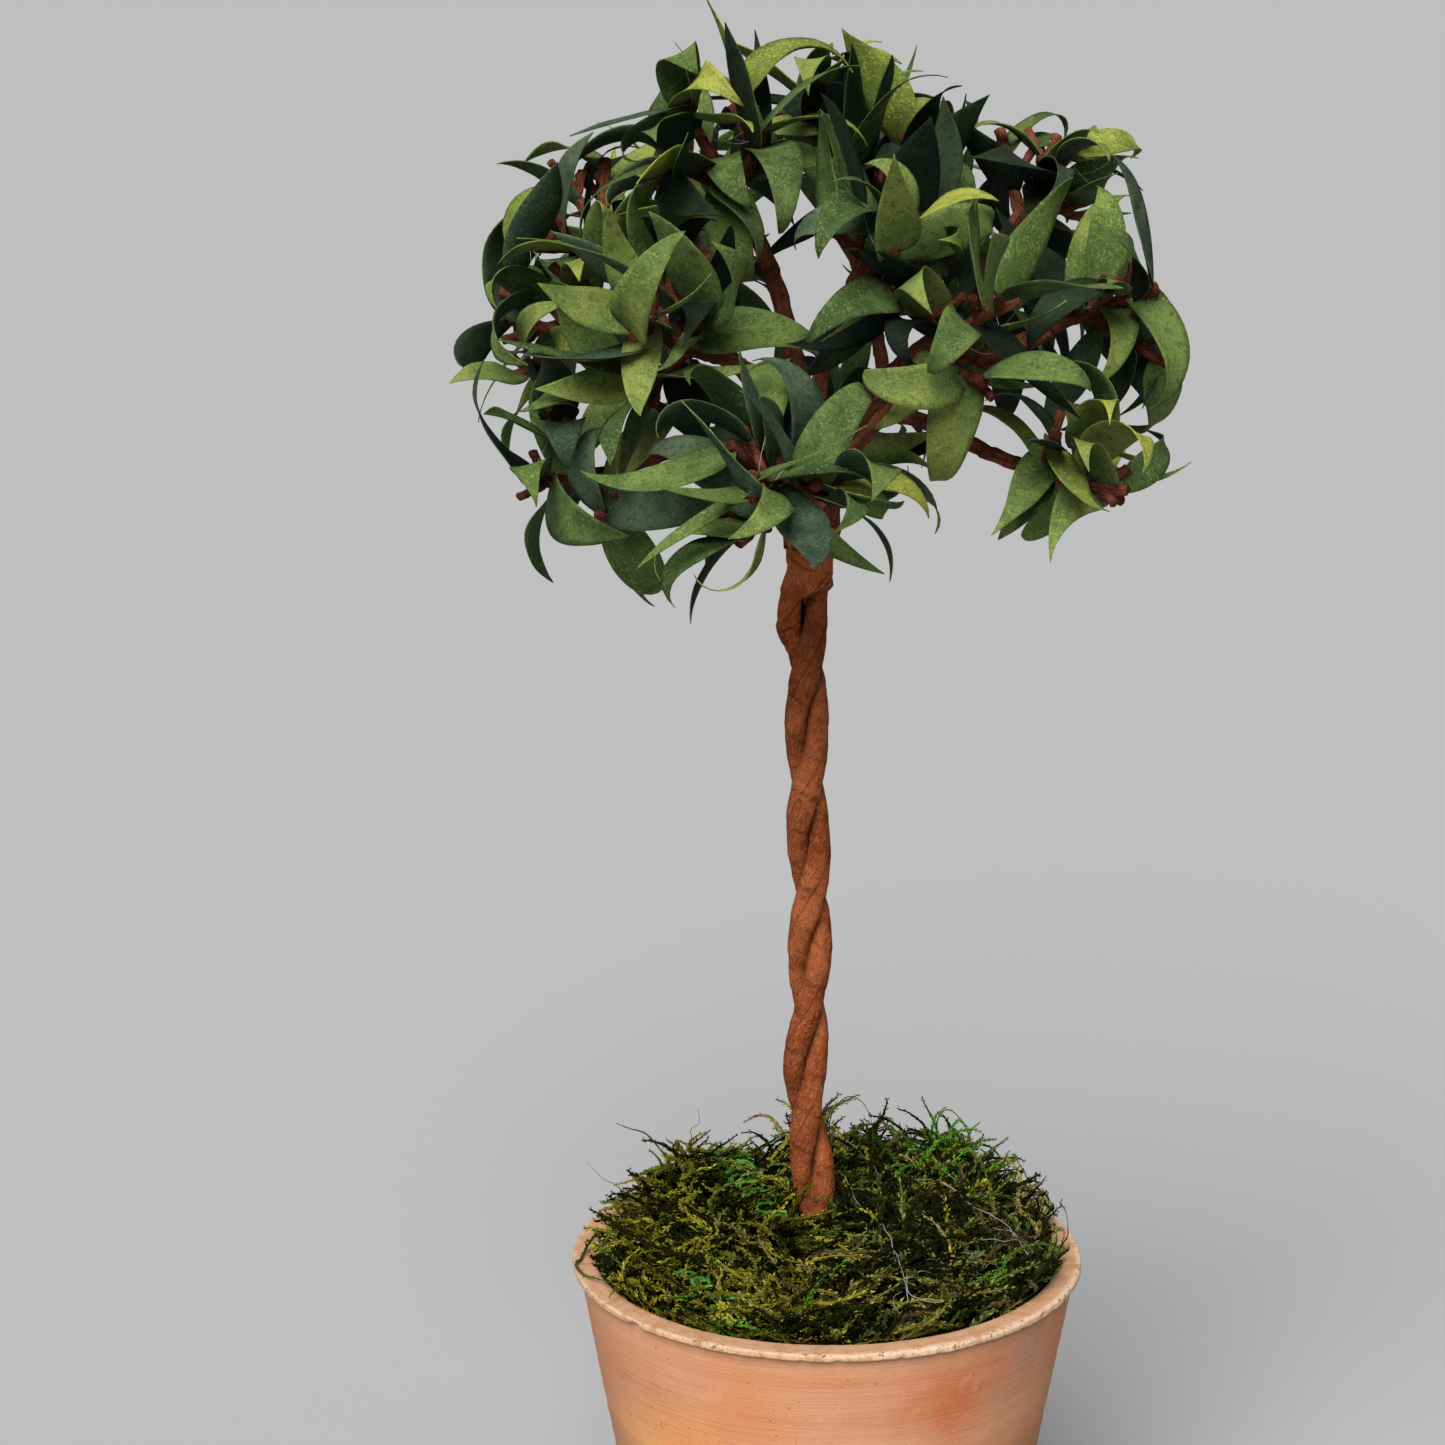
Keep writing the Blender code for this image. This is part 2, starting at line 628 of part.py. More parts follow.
def grow_leaves(seed, limbs, own, others, foreign, taken, leaves):
    """Leaves round each twig. One that would leave the mass's space or touch a thing is skipped."""
    draw = random.Random(seed)
    grown = []
    for twig, radii in limbs[1:]:
        way = (twig[-1] - twig[-2]).normalized()
        side = way.orthogonal().normalized()
        first = draw.uniform(0, 360)
        for number in range(LEAVES_A_TWIG):
            place = LEAF_PLACES[0] + LEAF_PLACES[1] * number / (LEAVES_A_TWIG - 1)
            for attempt in range(LEAF_TRIES):
                at = (place + draw.uniform(*LEAF_PLACE_SLACK)) * TWIG_STEPS
                low = min(TWIG_STEPS - 1, int(at))
                root = twig[low].lerp(twig[low + 1], at - low)
                slack = draw.uniform(-LEAF_TURN_SLACK, LEAF_TURN_SLACK)
                turn = first + GOLDEN_ANGLE * number + slack + LEAF_TURN_STEP * attempt
                lean = math.radians(draw.uniform(*LEAF_LEANS))
                out = Quaternion(way, math.radians(turn)) @ side
                aim = way * math.cos(lean) + out * math.sin(lean) + UP * LEAF_LIFT
                aim.normalize()
                face = way * LEAF_FACING + UP * LEAF_FACING
                face += Vector([draw.uniform(-LEAF_FACE_SLACK, LEAF_FACE_SLACK) for _ in range(3)])
                face = (face - aim * face.dot(aim)).normalized()
                length = draw.uniform(*LEAF_LENGTHS)
                width = length * draw.uniform(*LEAF_WIDTHS)
                cup = draw.uniform(*LEAF_CUP)
                curl = draw.uniform(*LEAF_CURLS)
                sweep = draw.uniform(*LEAF_SWEEPS)
                roll = draw.uniform(*LEAF_ROLLS)
                stations = leaf_stations(root, aim, face, length, curl, sweep, roll)
                half, tip = stations[LEAF_STEPS // 2][0], stations[-1][0]
                body = leaf_shape(stations, width, cup, BODY_SECTIONS, 0)[0][:-2]
                if not in_crown(tip, TIP_BEYOND) or not all(in_crown(point) for point in body):
                    continue
                if any(reach_from(p, own) > reach_from(p, line) + SPACE_SLACK
                       for p in (half, tip) for line in others if (line[0] - p).length < NEAR_STEM):
                    continue
                whole = tree_of(leaf_shape(stations, width, cup, LEAF_SECTIONS, 0))
                if any(whole.overlap(other) for other in foreign):
                    continue
                free = tree_of(tested_shape(stations, width, cup, CLEAR))
                if any(free.overlap(other) for other in taken):
                    continue
                near = [tree for centre, tree in leaves if (centre - half).length < NEAR_LEAF]
                if any(free.overlap(other) for other in near):
                    continue
                standing = tested_shape(stations, width, cup, STANDING_SKIN)
                leaves.append((half, tree_of(standing)))
                grown.append((stations, width, cup))
                break
    return grown


def grow_crown(laid):
    """Every mass's limbs and leaves, by the name of its bough."""
    taken = [tree_of(sleeve(line, radii, 0)) for line, radii in laid.values()]
    neck = [Vector((between(TRUNK_SWAY, z), 0, z)) for z in NECK_STEPS]
    taken.append(tree_of(sleeve(neck, [NECK_HALF_WIDTH] * len(neck), 0)))
    limbs = {}
    for (name, (line, _)), seed in zip(laid.items(), TWIG_SEEDS):
        limbs[name] = grow_twigs(seed, line, taken)
    stems = {name: grown[0][0] for name, grown in limbs.items()}
    sleeves = {
        name: [tree_of(sleeve(line, radii, CLEAR)) for line, radii in grown]
        for name, grown in limbs.items()
    }
    leaves = []
    crown = {}
    for name, seed in zip(laid, LEAF_SEEDS):
        others = [stem for other, stem in stems.items() if other != name]
        foreign = [tree for other in sleeves if other != name for tree in sleeves[other]]
        grown = grow_leaves(seed, limbs[name], stems[name], others, foreign, taken, leaves)
        crown[name] = (limbs[name], grown)
    return crown


def make_mass(name, limbs, leaves, parts):
    """One solid: the stem joined with its twigs and leaves."""
    pieces = bpy.data.collections.new("pieces of " + name)
    bpy.context.scene.collection.children.link(pieces)
    stem = tube(name, *limbs[0], 4, "leaf", parts)
    for number, (line, radii) in enumerate(limbs[1:]):
        tube(f"{name}_twig_{number}", line, radii, 4, "leaf", pieces)
    for number, (stations, width, cup) in enumerate(leaves):
        shape = leaf_shape(stations, width, cup, LEAF_SECTIONS, 0)
        solid(f"{name}_leaf_{number}", *shape, "leaf", pieces)
    join = stem.modifiers.new("Join", "BOOLEAN")
    join.operation = "UNION"
    join.operand_type = "COLLECTION"
    join.collection = pieces
    join.solver = "MANIFOLD"
    bpy.context.view_layer.update()
    graph = bpy.context.evaluated_depsgraph_get()
    joined = bpy.data.meshes.new_from_object(stem.evaluated_get(graph))
    stem.modifiers.remove(join)
    stem.data = joined
    for piece in list(pieces.objects):
        bpy.data.objects.remove(piece, do_unlink=True)
    bpy.data.collections.remove(pieces)
    tidy_shell(joined)
    finish(stem, "leaf")
    return stem


def tidy_shell(mesh):
    """Merges flat faces and keeps the largest shell: loose scraps and sealed hollows go."""
    work = bmesh.new()
    work.from_mesh(mesh)
    bmesh.ops.dissolve_limit(work, angle_limit=FLAT_ANGLE, verts=work.verts, edges=work.edges)
    bmesh.ops.triangulate(work, faces=work.faces)
    left = set(work.faces)
    shells = []
    while left:
        reached = [left.pop()]
        for face in reached:
            for edge in face.edges:
                if len(edge.link_faces) != 2:
                    continue
                for other in edge.link_faces:
                    if other in left:
                        left.remove(other)
                        reached.append(other)
        shells.append(reached)
    shells.sort(key=len)
    for shell in shells[:-1]:
        bmesh.ops.delete(work, geom=shell, context="FACES")
    work.to_mesh(mesh)
    work.free()


def build():
    for item in list(bpy.data.objects):
        bpy.data.objects.remove(item, do_unlink=True)
    parts = bpy.data.collections.new("potted_topiary")
    bpy.context.scene.collection.children.link(parts)
    make_pot(parts)
    make_filler(parts)
    make_moss(parts)
    make_strand("trunk_strand_a", 0, parts)
    make_strand("trunk_strand_b", 1, parts)
    make_collar(parts)
    laid = lay_out_boughs()
    for name, (line, radii) in laid.items():
        tube("bough_" + name, line, radii, 8, "tape", parts)
    for name, (limbs, leaves) in grow_crown(laid).items():
        make_mass("foliage_" + name, limbs, leaves, parts)


build()
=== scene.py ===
# A topiary made by hand, in its terracotta pot: the finished surfaces of every piece.
# Metres, +Z up, the front towards -Y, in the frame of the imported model.
import json
import math
import random

import bmesh
import bpy
import numpy as np
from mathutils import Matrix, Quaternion, Vector, noise
from mathutils.bvhtree import BVHTree

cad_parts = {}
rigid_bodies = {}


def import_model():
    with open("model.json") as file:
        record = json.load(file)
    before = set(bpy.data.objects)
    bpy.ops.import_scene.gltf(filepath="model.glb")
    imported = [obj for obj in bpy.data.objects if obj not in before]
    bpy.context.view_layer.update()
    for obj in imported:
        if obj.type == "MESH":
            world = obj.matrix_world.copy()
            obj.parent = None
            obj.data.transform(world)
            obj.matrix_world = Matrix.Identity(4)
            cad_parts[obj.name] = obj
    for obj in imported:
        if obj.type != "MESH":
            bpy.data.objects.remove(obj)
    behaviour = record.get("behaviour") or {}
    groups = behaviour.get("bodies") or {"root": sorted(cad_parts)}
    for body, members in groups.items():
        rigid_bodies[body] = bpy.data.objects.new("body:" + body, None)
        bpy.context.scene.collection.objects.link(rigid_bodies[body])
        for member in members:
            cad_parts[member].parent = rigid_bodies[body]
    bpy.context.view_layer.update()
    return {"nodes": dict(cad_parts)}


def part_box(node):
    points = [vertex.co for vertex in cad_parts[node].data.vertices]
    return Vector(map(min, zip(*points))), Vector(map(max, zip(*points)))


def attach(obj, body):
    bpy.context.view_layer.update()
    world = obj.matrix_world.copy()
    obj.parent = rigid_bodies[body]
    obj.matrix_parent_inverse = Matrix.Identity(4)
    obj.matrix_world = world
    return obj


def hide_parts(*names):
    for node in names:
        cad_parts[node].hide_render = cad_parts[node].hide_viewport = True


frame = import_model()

UP = Vector((0, 0, 1))

# Studio. A wide pale floor under a soft key light from the front left. The even light all round is
# brightest at the horizon, where its grey is the far floor's own, and dim above.

HORIZON_GREY = 0.521
SKY_GREY = 0.24
HORIZON_BAND = (0.10, 0.42)  # sines of the heights between which the one turns into the other
KEY_STRENGTH = 6.2
KEY_SOFTNESS = math.radians(42)
KEY_TURN = (math.radians(48), 0, math.radians(-13))
FLOOR_GREY = 0.331
FLOOR_SIZE = 60.0

CAMERA_PLACE = (0, -0.528, 0.317)
CAMERA_DOWN = math.radians(9.762)
CAMERA_YAW = math.radians(2.451)
CAMERA_ROLL = math.radians(-0.389)
CAMERA_FOCAL_PIXELS = 2447.4
IMAGE_PIXELS = 1445

bpy.context.scene.view_settings.view_transform = "Standard"
world = bpy.data.worlds.new("studio")
bpy.context.scene.world = world
world.use_nodes = True
sky = world.node_tree
where = sky.nodes.new("ShaderNodeTexCoord")
split = sky.nodes.new("ShaderNodeSeparateXYZ")
level = sky.nodes.new("ShaderNodeMapRange")
level.interpolation_type = "SMOOTHSTEP"
level.inputs["From Min"].default_value, level.inputs["From Max"].default_value = HORIZON_BAND
level.inputs["To Min"].default_value = HORIZON_GREY
level.inputs["To Max"].default_value = SKY_GREY
sky.links.new(where.outputs["Generated"], split.inputs[0])
sky.links.new(split.outputs["Z"], level.inputs["Value"])
sky.links.new(level.outputs[0], sky.nodes["Background"].inputs["Strength"])
sky.nodes["Background"].inputs["Color"].default_value = (1, 1, 1, 1)

key = bpy.data.lights.new("key_light", "SUN")
key.energy = KEY_STRENGTH
key.angle = KEY_SOFTNESS
key_holder = bpy.data.objects.new("key_light", key)
key_holder.rotation_euler = KEY_TURN
bpy.context.scene.collection.objects.link(key_holder)

lens = bpy.data.cameras.new("camera")
lens.sensor_width = 36.0
lens.lens = CAMERA_FOCAL_PIXELS / IMAGE_PIXELS * lens.sensor_width
lens.clip_start = 0.01
camera = bpy.data.objects.new("camera", lens)
camera.location = CAMERA_PLACE
aim = Quaternion(UP, CAMERA_YAW) @ Quaternion((1, 0, 0), math.pi / 2 - CAMERA_DOWN)
camera.rotation_mode = "QUATERNION"
camera.rotation_quaternion = aim @ Quaternion(UP, CAMERA_ROLL)
bpy.context.scene.collection.objects.link(camera)
bpy.context.scene.camera = camera


class Socket:
    """A value or colour in a material. Sums and products of values add their Math nodes."""

    def __init__(self, finish, out):
        self.finish = finish
        self.out = out

    def math(self, operation, *values, clamp=False):
        settings = {"operation": operation, "use_clamp": clamp}
        return self.finish.node("Math", settings, dict(enumerate(values)))

    def __add__(self, other):
        return self.math("ADD", self, other)

    def __sub__(self, other):
        return self.math("SUBTRACT", self, other)

    def __rsub__(self, other):
        return self.math("SUBTRACT", other, self)

    def __mul__(self, other):
        return self.math("MULTIPLY", self, other)

    def __truediv__(self, other):
        return self.math("DIVIDE", self, other)

    def __pow__(self, power):
        return self.math("POWER", self, power)

    __radd__ = __add__
    __rmul__ = __mul__

    def clamped(self):
        return self.math("ADD", self, 0.0, clamp=True)

    def rise(self, low, high):
        """0 below low, 1 above high, and smooth between them."""
        settings = {"interpolation_type": "SMOOTHSTEP"}
        return self.finish.node("MapRange", settings, {"Value": self, "From Min": low, "From Max": high})


class Finish:
    """A material in the making: its shader, and the nodes that feed it."""

    def __init__(self, name, roughness, specular=0.5):
        self.material = bpy.data.materials.new(name)
        self.material.use_nodes = True
        self.tree = self.material.node_tree
        self.shader = self.tree.nodes["Principled BSDF"]
        self.shader.inputs["Roughness"].default_value = roughness
        self.shader.inputs["Specular IOR Level"].default_value = specular

    def node(self, kind, settings, inputs, out=0):
        """Adds a node: its settings first, then its inputs' values or links."""
        made = self.tree.nodes.new("ShaderNode" + kind)
        for key, value in settings.items():
            setattr(made, key, value)
        for key, value in inputs.items():
            if isinstance(value, Socket):
                self.tree.links.new(value.out, made.inputs[key])
            else:
                made.inputs[key].default_value = value
        return Socket(self, made.outputs[out])

    def place(self):
        """The object's own coordinates, in metres."""
        return self.node("TexCoord", {}, {}, "Object")

    def uv(self, name):
        return self.node("UVMap", {"uv_map": name}, {})

    def parts(self, vector):
        """A vector's X, Y and Z."""
        first = self.node("SeparateXYZ", {}, {0: vector})
        return [Socket(self, out) for out in first.out.node.outputs]

    def stretched(self, vector, scale, turn=0.0):
        settings = {"vector_type": "POINT"}
        return self.node("Mapping", settings, {0: vector, "Scale": scale, "Rotation": (0, 0, turn)})

    def noise(self, vector, scale, detail=3.0, rough=0.55, swirl=0.0):
        inputs = {"Vector": vector, "Scale": scale, "Detail": detail, "Roughness": rough}
        return self.node("TexNoise", {}, {**inputs, "Distortion": swirl})

    def dots(self, vector, scale):
        """The distance to the nearest of many scattered points, in parts of their spacing."""
        return self.node("TexVoronoi", {}, {"Vector": vector, "Scale": scale})

    def attribute(self, name):
        return self.node("Attribute", {"attribute_name": name}, {}, "Fac")

    def mix(self, part, first, second, blend="MIX"):
        """Two colours mixed."""
        settings = {"data_type": "RGBA", "blend_type": blend}
        first, second = (c if isinstance(c, Socket) else (*c, 1) for c in (first, second))
        return self.node("Mix", settings, {0: part, 6: first, 7: second}, 2)

    def near(self, vector, centre, low, high):
        """1 at a place on the piece, falling to 0 between two distances from it."""
        away = self.node("VectorMath", {"operation": "DISTANCE"}, {0: vector, 1: centre}, "Value")
        return 1 - away.rise(low, high)

    def done(self, colour, roughness=None, relief=None, depth=0.001):
        """Feeds the shader. Relief is in parts of a depth in metres."""
        self.tree.links.new(colour.out, self.shader.inputs["Base Color"])
        if roughness:
            self.tree.links.new(roughness.out, self.shader.inputs["Roughness"])
        if relief:
            bump = self.node("Bump", {}, {"Height": relief, "Distance": depth, "Strength": 1.0})
            self.tree.links.new(bump.out, self.shader.inputs["Normal"])
        return self.material


floor_mesh = bpy.data.meshes.new("floor")
half = FLOOR_SIZE / 2
floor_mesh.from_pydata([(-half, -half, 0), (half, -half, 0), (half, half, 0), (-half, half, 0)], [], [(0, 1, 2, 3)])
floor_finish = Finish("floor_paper", 0.9, specular=0.0)
floor_finish.shader.inputs["Base Color"].default_value = (FLOOR_GREY, FLOOR_GREY, FLOOR_GREY, 1)
floor_mesh.materials.append(floor_finish.material)
floor = bpy.data.objects.new("floor", floor_mesh)
bpy.context.scene.collection.objects.link(floor)


# Pot. Thrown terracotta with a straight taper and a thin lip that stands out a little. The lip is
# pale, pitted and worn, with a chip on its front left, and the wall is stained by water and lime.

RIM_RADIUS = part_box("pot")[1].x
POT_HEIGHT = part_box("pot")[1].z
LIP_DEPTH = 0.0021
BAND_DEPTH = 0.0016
LIP_OVERHANG = 0.0016
LIP_ROUND = 0.0006
BASE_RADIUS = 0.0375
BASE_ROUND = 0.0016
WALL = 0.0055
FLOOR_TOP = 0.0070
MOUTH_DEPTH = 0.0060
MOUTH_STEP = 0.0006
POT_SIDES = 420
CHIP_PLACE = Vector((-0.0402, -0.0402, 0.1034))
CHIP_SIZE = 0.0014
CHIP_DEPTH = 0.0009


def wall_radius(height):
    """The pot's outer wall under its lip."""
    top = RIM_RADIUS - LIP_OVERHANG
    return BASE_RADIUS + (top - BASE_RADIUS) * height / (POT_HEIGHT - LIP_DEPTH)


def arc(centre, radius, start, end, steps):
    """Points of a round edge, from one angle to another in degrees."""
    turns = [math.radians(start + (end - start) * k / steps) for k in range(steps + 1)]
    return [(centre[0] + radius * math.cos(a), centre[1] + radius * math.sin(a)) for a in turns]


def pot_profile():
    """Half the pot's section, from the middle of its inside over the lip to the middle of its foot."""
    inner_foot = wall_radius(FLOOR_TOP) - WALL
    inner_top = RIM_RADIUS - WALL
    lip_foot = POT_HEIGHT - BAND_DEPTH
    points = [(0.0, FLOOR_TOP)]
    points += arc((inner_foot - 0.003, FLOOR_TOP + 0.003), 0.003, -90, 0, 4)
    points.append((inner_top - MOUTH_STEP, POT_HEIGHT - MOUTH_DEPTH))
    points += arc((inner_top + LIP_ROUND, POT_HEIGHT - LIP_ROUND), LIP_ROUND, 180, 90, 5)
    points += arc((RIM_RADIUS - LIP_ROUND, POT_HEIGHT - LIP_ROUND), LIP_ROUND, 90, 0, 6)
    points += arc((RIM_RADIUS - LIP_ROUND, lip_foot + LIP_ROUND * 0.7), LIP_ROUND, 0, -80, 5)
    points.append((wall_radius(lip_foot) + 0.0002, lip_foot - 0.0004))
    points.append((wall_radius(lip_foot - 0.0012), lip_foot - 0.0012))
    points += arc((wall_radius(0) - BASE_ROUND, BASE_ROUND), BASE_ROUND, -8, -90, 5)
    points.append((0.0, 0.0))
    return points


def subdivided(points, lip_step, wall_step):
    """More points along a section, closer together near the lip."""
    fine = [points[0]]
    for (r0, z0), (r1, z1) in zip(points, points[1:]):
        length = math.hypot(r1 - r0, z1 - z0)
        step = lip_step if max(z0, z1) > POT_HEIGHT - 0.008 and min(z0, z1) > POT_HEIGHT - 0.012 else wall_step
        count = max(1, round(length / step))
        fine += [(r0 + (r1 - r0) * k / count, z0 + (z1 - z0) * k / count) for k in range(1, count + 1)]
    return fine


def pot_wear(point, outward):
    """How far wear has taken the clay back at a point."""
    wobble = 0.00022 * noise.noise(point * 22) + 0.00007 * noise.noise(point * 160)
    marks = 0.00005 * math.sin(point.z / 0.00042 + 3 * noise.noise(point * 30)) if outward else 0
    lip = max(0.0, min(1.0, (point.z - POT_HEIGHT + 0.0024) / 0.0008))
    edge = max(0.0, min(1.0, (math.hypot(point.x, point.y) - RIM_RADIUS + 0.0020) / 0.0010))
    lip *= 0.25 + 0.75 * edge
    pits = max(0.0, noise.noise(point * 620) - 0.12) * 0.0006 + max(0.0, noise.noise(point * 210) - 0.2) * 0.0003
    chip = CHIP_DEPTH * math.exp(-((point - CHIP_PLACE).length / CHIP_SIZE) ** 2)
    small = max(0.0, noise.noise(point * 900) - 0.45) * 0.0005
    return wobble + marks + lip * (pits if outward else 0.4 * pits) + chip + small


def make_pot():
    section = subdivided(pot_profile(), 0.00030, 0.0017)
    work = bmesh.new()
    rings = []
    for radius, height in section:
        if radius == 0.0:
            rings.append([work.verts.new((0, 0, height))] * POT_SIDES)
            continue
        ring = []
        for side in range(POT_SIDES):
            turn = 2 * math.pi * side / POT_SIDES
            ring.append(work.verts.new((radius * math.cos(turn), radius * math.sin(turn), height)))
        rings.append(ring)
    for low, high in zip(rings, rings[1:]):
        for side in range(POT_SIDES):
            after = (side + 1) % POT_SIDES
            corners = [low[side], high[side], high[after], low[after]]
            work.faces.new(list(dict.fromkeys(corners)))
    bmesh.ops.recalc_face_normals(work, faces=work.faces)
    work.normal_update()
    moves = []
    for vert in work.verts:
        across = Vector((vert.co.x, vert.co.y, 0))
        outward = vert.normal.dot(across) > 0
        if vert.co.z > 0.0005:
            moves.append((vert, vert.normal * -pot_wear(vert.co, outward)))
    for vert, move in moves:
        vert.co += move
    mesh = bpy.data.meshes.new("pot_clay")
    work.to_mesh(mesh)
    work.free()
    mesh.shade_smooth()
    return mesh


def terracotta():
    """Salmon clay with turning marks, orange and yellow stains, and a pale, pitted, worn lip, with painted shade under
    the lip and low inside the mouth.
    """
    clay = Finish("terracotta", 0.86, specular=0.2)
    place = clay.place()
    x, y, z = clay.parts(place)
    cloud = clay.noise(place, 26, 4, 0.6)
    band = clay.noise(clay.stretched(place, (14, 14, 150)), 1.0, 3, 0.6)
    colour = clay.mix(cloud.rise(0.35, 0.68), (0.420, 0.178, 0.086), (0.450, 0.215, 0.115))
    colour = clay.mix(band.rise(0.40, 0.72) * 0.6, colour, (0.490, 0.255, 0.145))
    ragged = clay.noise(place, 60, 4, 0.65)
    sway = ragged - 0.5
    warped = clay.node("VectorMath", {"operation": "MULTIPLY_ADD"}, {
        0: clay.node("CombineXYZ", {}, {0: sway, 1: sway, 2: sway}), 1: (0.022, 0.022, 0.022), 2: place,
    })
    for centre, low, high, stain, strength in (
        ((-0.034, -0.036, 0.062), 0.004, 0.028, (0.580, 0.280, 0.085), 0.80),
        ((-0.026, -0.042, 0.074), 0.001, 0.018, (0.520, 0.175, 0.048), 0.70),
        ((-0.016, -0.050, 0.088), 0.001, 0.015, (0.460, 0.150, 0.048), 0.55),
        ((0.028, -0.047, 0.091), 0.000, 0.018, (0.390, 0.098, 0.028), 0.80),
        ((0.041, -0.036, 0.095), 0.000, 0.014, (0.330, 0.165, 0.115), 0.75),
        ((-0.050, -0.020, 0.090), 0.002, 0.016, (0.370, 0.160, 0.095), 0.45),
        ((0.034, 0.038, 0.060), 0.004, 0.034, (0.540, 0.240, 0.070), 0.65),
        ((-0.045, 0.022, 0.075), 0.002, 0.026, (0.420, 0.110, 0.036), 0.60),
        ((0.002, 0.046, 0.040), 0.004, 0.030, (0.500, 0.290, 0.180), 0.55),
        ((0.045, 0.010, 0.035), 0.002, 0.022, (0.440, 0.130, 0.045), 0.50),
    ):
        colour = clay.mix(clay.near(warped, centre, low, high) * strength, colour, stain)
    bloom = clay.noise(place, 150, 5, 0.7).rise(0.54, 0.76)
    colour = clay.mix(bloom * 0.30, colour, (0.520, 0.330, 0.220))
    foot = 1 - z.rise(0.0, 0.030)
    colour = clay.mix(foot * cloud * 0.5, colour, (0.420, 0.260, 0.170))
    turning = clay.noise(clay.stretched(place, (40, 40, 1500)), 1.0, 2, 0.5)
    colour = clay.mix(turning.rise(0.56, 0.72) * 0.20, colour, (0.270, 0.100, 0.045))
    scores = clay.noise(clay.stretched(place, (900, 900, 55)), 1.0, 2, 0.5).rise(0.70, 0.76)
    scores = scores * clay.noise(place, 48, 2).rise(0.50, 0.62)
    colour = clay.mix(scores * 0.75, colour, (0.190, 0.080, 0.040))
    lip = z.rise(POT_HEIGHT - 0.0025, POT_HEIGHT - 0.0018)
    radius = (x * x + y * y) ** 0.5
    worn = clay.noise(place, 300, 5, 0.7)
    lip_colour = clay.mix(worn.rise(0.38, 0.62), (0.385, 0.195, 0.100), (0.440, 0.255, 0.145))
    edge = radius.rise(RIM_RADIUS - 0.0018, RIM_RADIUS - 0.0006)
    right = ((x + 0.012) * 28).clamped() * 0.55 + 0.40
    lip_colour = clay.mix(edge * worn.rise(0.36, 0.54) * right, lip_colour, (0.520, 0.370, 0.250))
    pits = clay.noise(place, 1150, 3, 0.6).rise(0.60, 0.68)
    pits = pits * (edge * 0.9 + 0.18) * clay.noise(place, 110, 2).rise(0.36, 0.60)
    lip_colour = clay.mix(pits, lip_colour, (0.115, 0.075, 0.045))
    colour = clay.mix(lip, colour, lip_colour)
    # Painted shadow: a darker band on the outer wall under the lip's overhang.
    painted_lip_shadow = z.rise(POT_HEIGHT - 0.0068, POT_HEIGHT - 0.0022) * (1 - lip) * edge.rise(0.0, 0.1)
    colour = clay.mix(painted_lip_shadow * 0.30, colour, (0.200, 0.085, 0.045))
    crack_line = (clay.noise(place, 240, 3, 0.6) - 0.5) * 0.0022 + x * 0.17 - y * 0.98 - 0.0010
    crack = 1 - crack_line.math("ABSOLUTE", crack_line).rise(0.00005, 0.00020)
    crack = crack * (1 - x.rise(-0.0505, -0.0495)) * z.rise(0.096, 0.101)
    colour = clay.mix(crack * 0.85, colour, (0.110, 0.050, 0.030))
    specks = 1 - clay.dots(place, 520).rise(0.10, 0.17)
    specks = specks * clay.noise(place, 70, 2).rise(0.52, 0.60)
    colour = clay.mix(specks * 0.7, colour, (0.140, 0.070, 0.040))
    # Painted shade: the pot's inside is darker below the rim, down by the moss.
    inside = (1 - radius.rise(RIM_RADIUS - 0.0075, RIM_RADIUS - 0.0068)) * (1 - z.rise(0.100, 0.104))
    colour = clay.mix(inside * 0.40, colour, (0.250, 0.120, 0.065))
    grain = clay.noise(place, 2200, 4, 0.7)
    relief = grain * 0.5 + turning * 0.6 + pits * -1.0 - scores * 0.5
    return clay.done(colour, 0.80 + cloud * 0.12, relief, 0.00020)


def give(piece, replaced=()):
    """Puts a finished piece on the object's one body, and hides the parts that it replaces."""
    bpy.context.scene.collection.objects.link(piece)
    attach(piece, "root")
    if replaced:
        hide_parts(*replaced)
    return piece


pot_mesh = make_pot()
pot_mesh.materials.append(terracotta())
give(bpy.data.objects.new("pot_clay", pot_mesh), ["pot"])


# Filler. The hidden plug of plaster that holds the trunk. It shows nowhere but keeps its colour.

plaster = Finish("plaster", 0.95, specular=0.1)
grit = plaster.noise(plaster.place(), 400, 4, 0.7)
plaster_colour = plaster.mix(grit, (0.16, 0.11, 0.07), (0.26, 0.20, 0.14))
filler = frame["nodes"]["filler"]
filler.data.materials.clear()
filler.data.materials.append(plaster.done(plaster_colour, None, grit, 0.0003))


# Trunk. Two thick wires, each wound with brown paper tape, twisted right-handed round each other
# and pressed together. The tape's slanting edges and its felted fibres show.

CLEAR = 0.0003
FILLER_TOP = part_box("filler")[1].z
COLLAR_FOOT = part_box("trunk_collar")[0].z
FORK_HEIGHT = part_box("trunk_collar")[1].z
HALF_TURN = 0.0253
CROSSING_HEIGHT = 0.2381
TRUNK_SWAY = (
    (0.098, -0.0016), (0.118, -0.0026), (0.143, -0.0046), (0.164, -0.0038), (0.186, -0.0034),
    (0.212, -0.0040), (0.238, -0.0042), (0.250, -0.0046), (0.262, -0.0034), (0.269, -0.0032),
)
STRAND_HALF_WIDTH = 0.0032
STRAND_INNER = 0.0020
STRAND_OUTER = 0.0028
STRAND_TOP = 0.2560
STRAND_ROWS = 300
STRAND_SIDES = 44
TAPE_PITCH = 0.0085
TAPE_EDGE = 0.00016


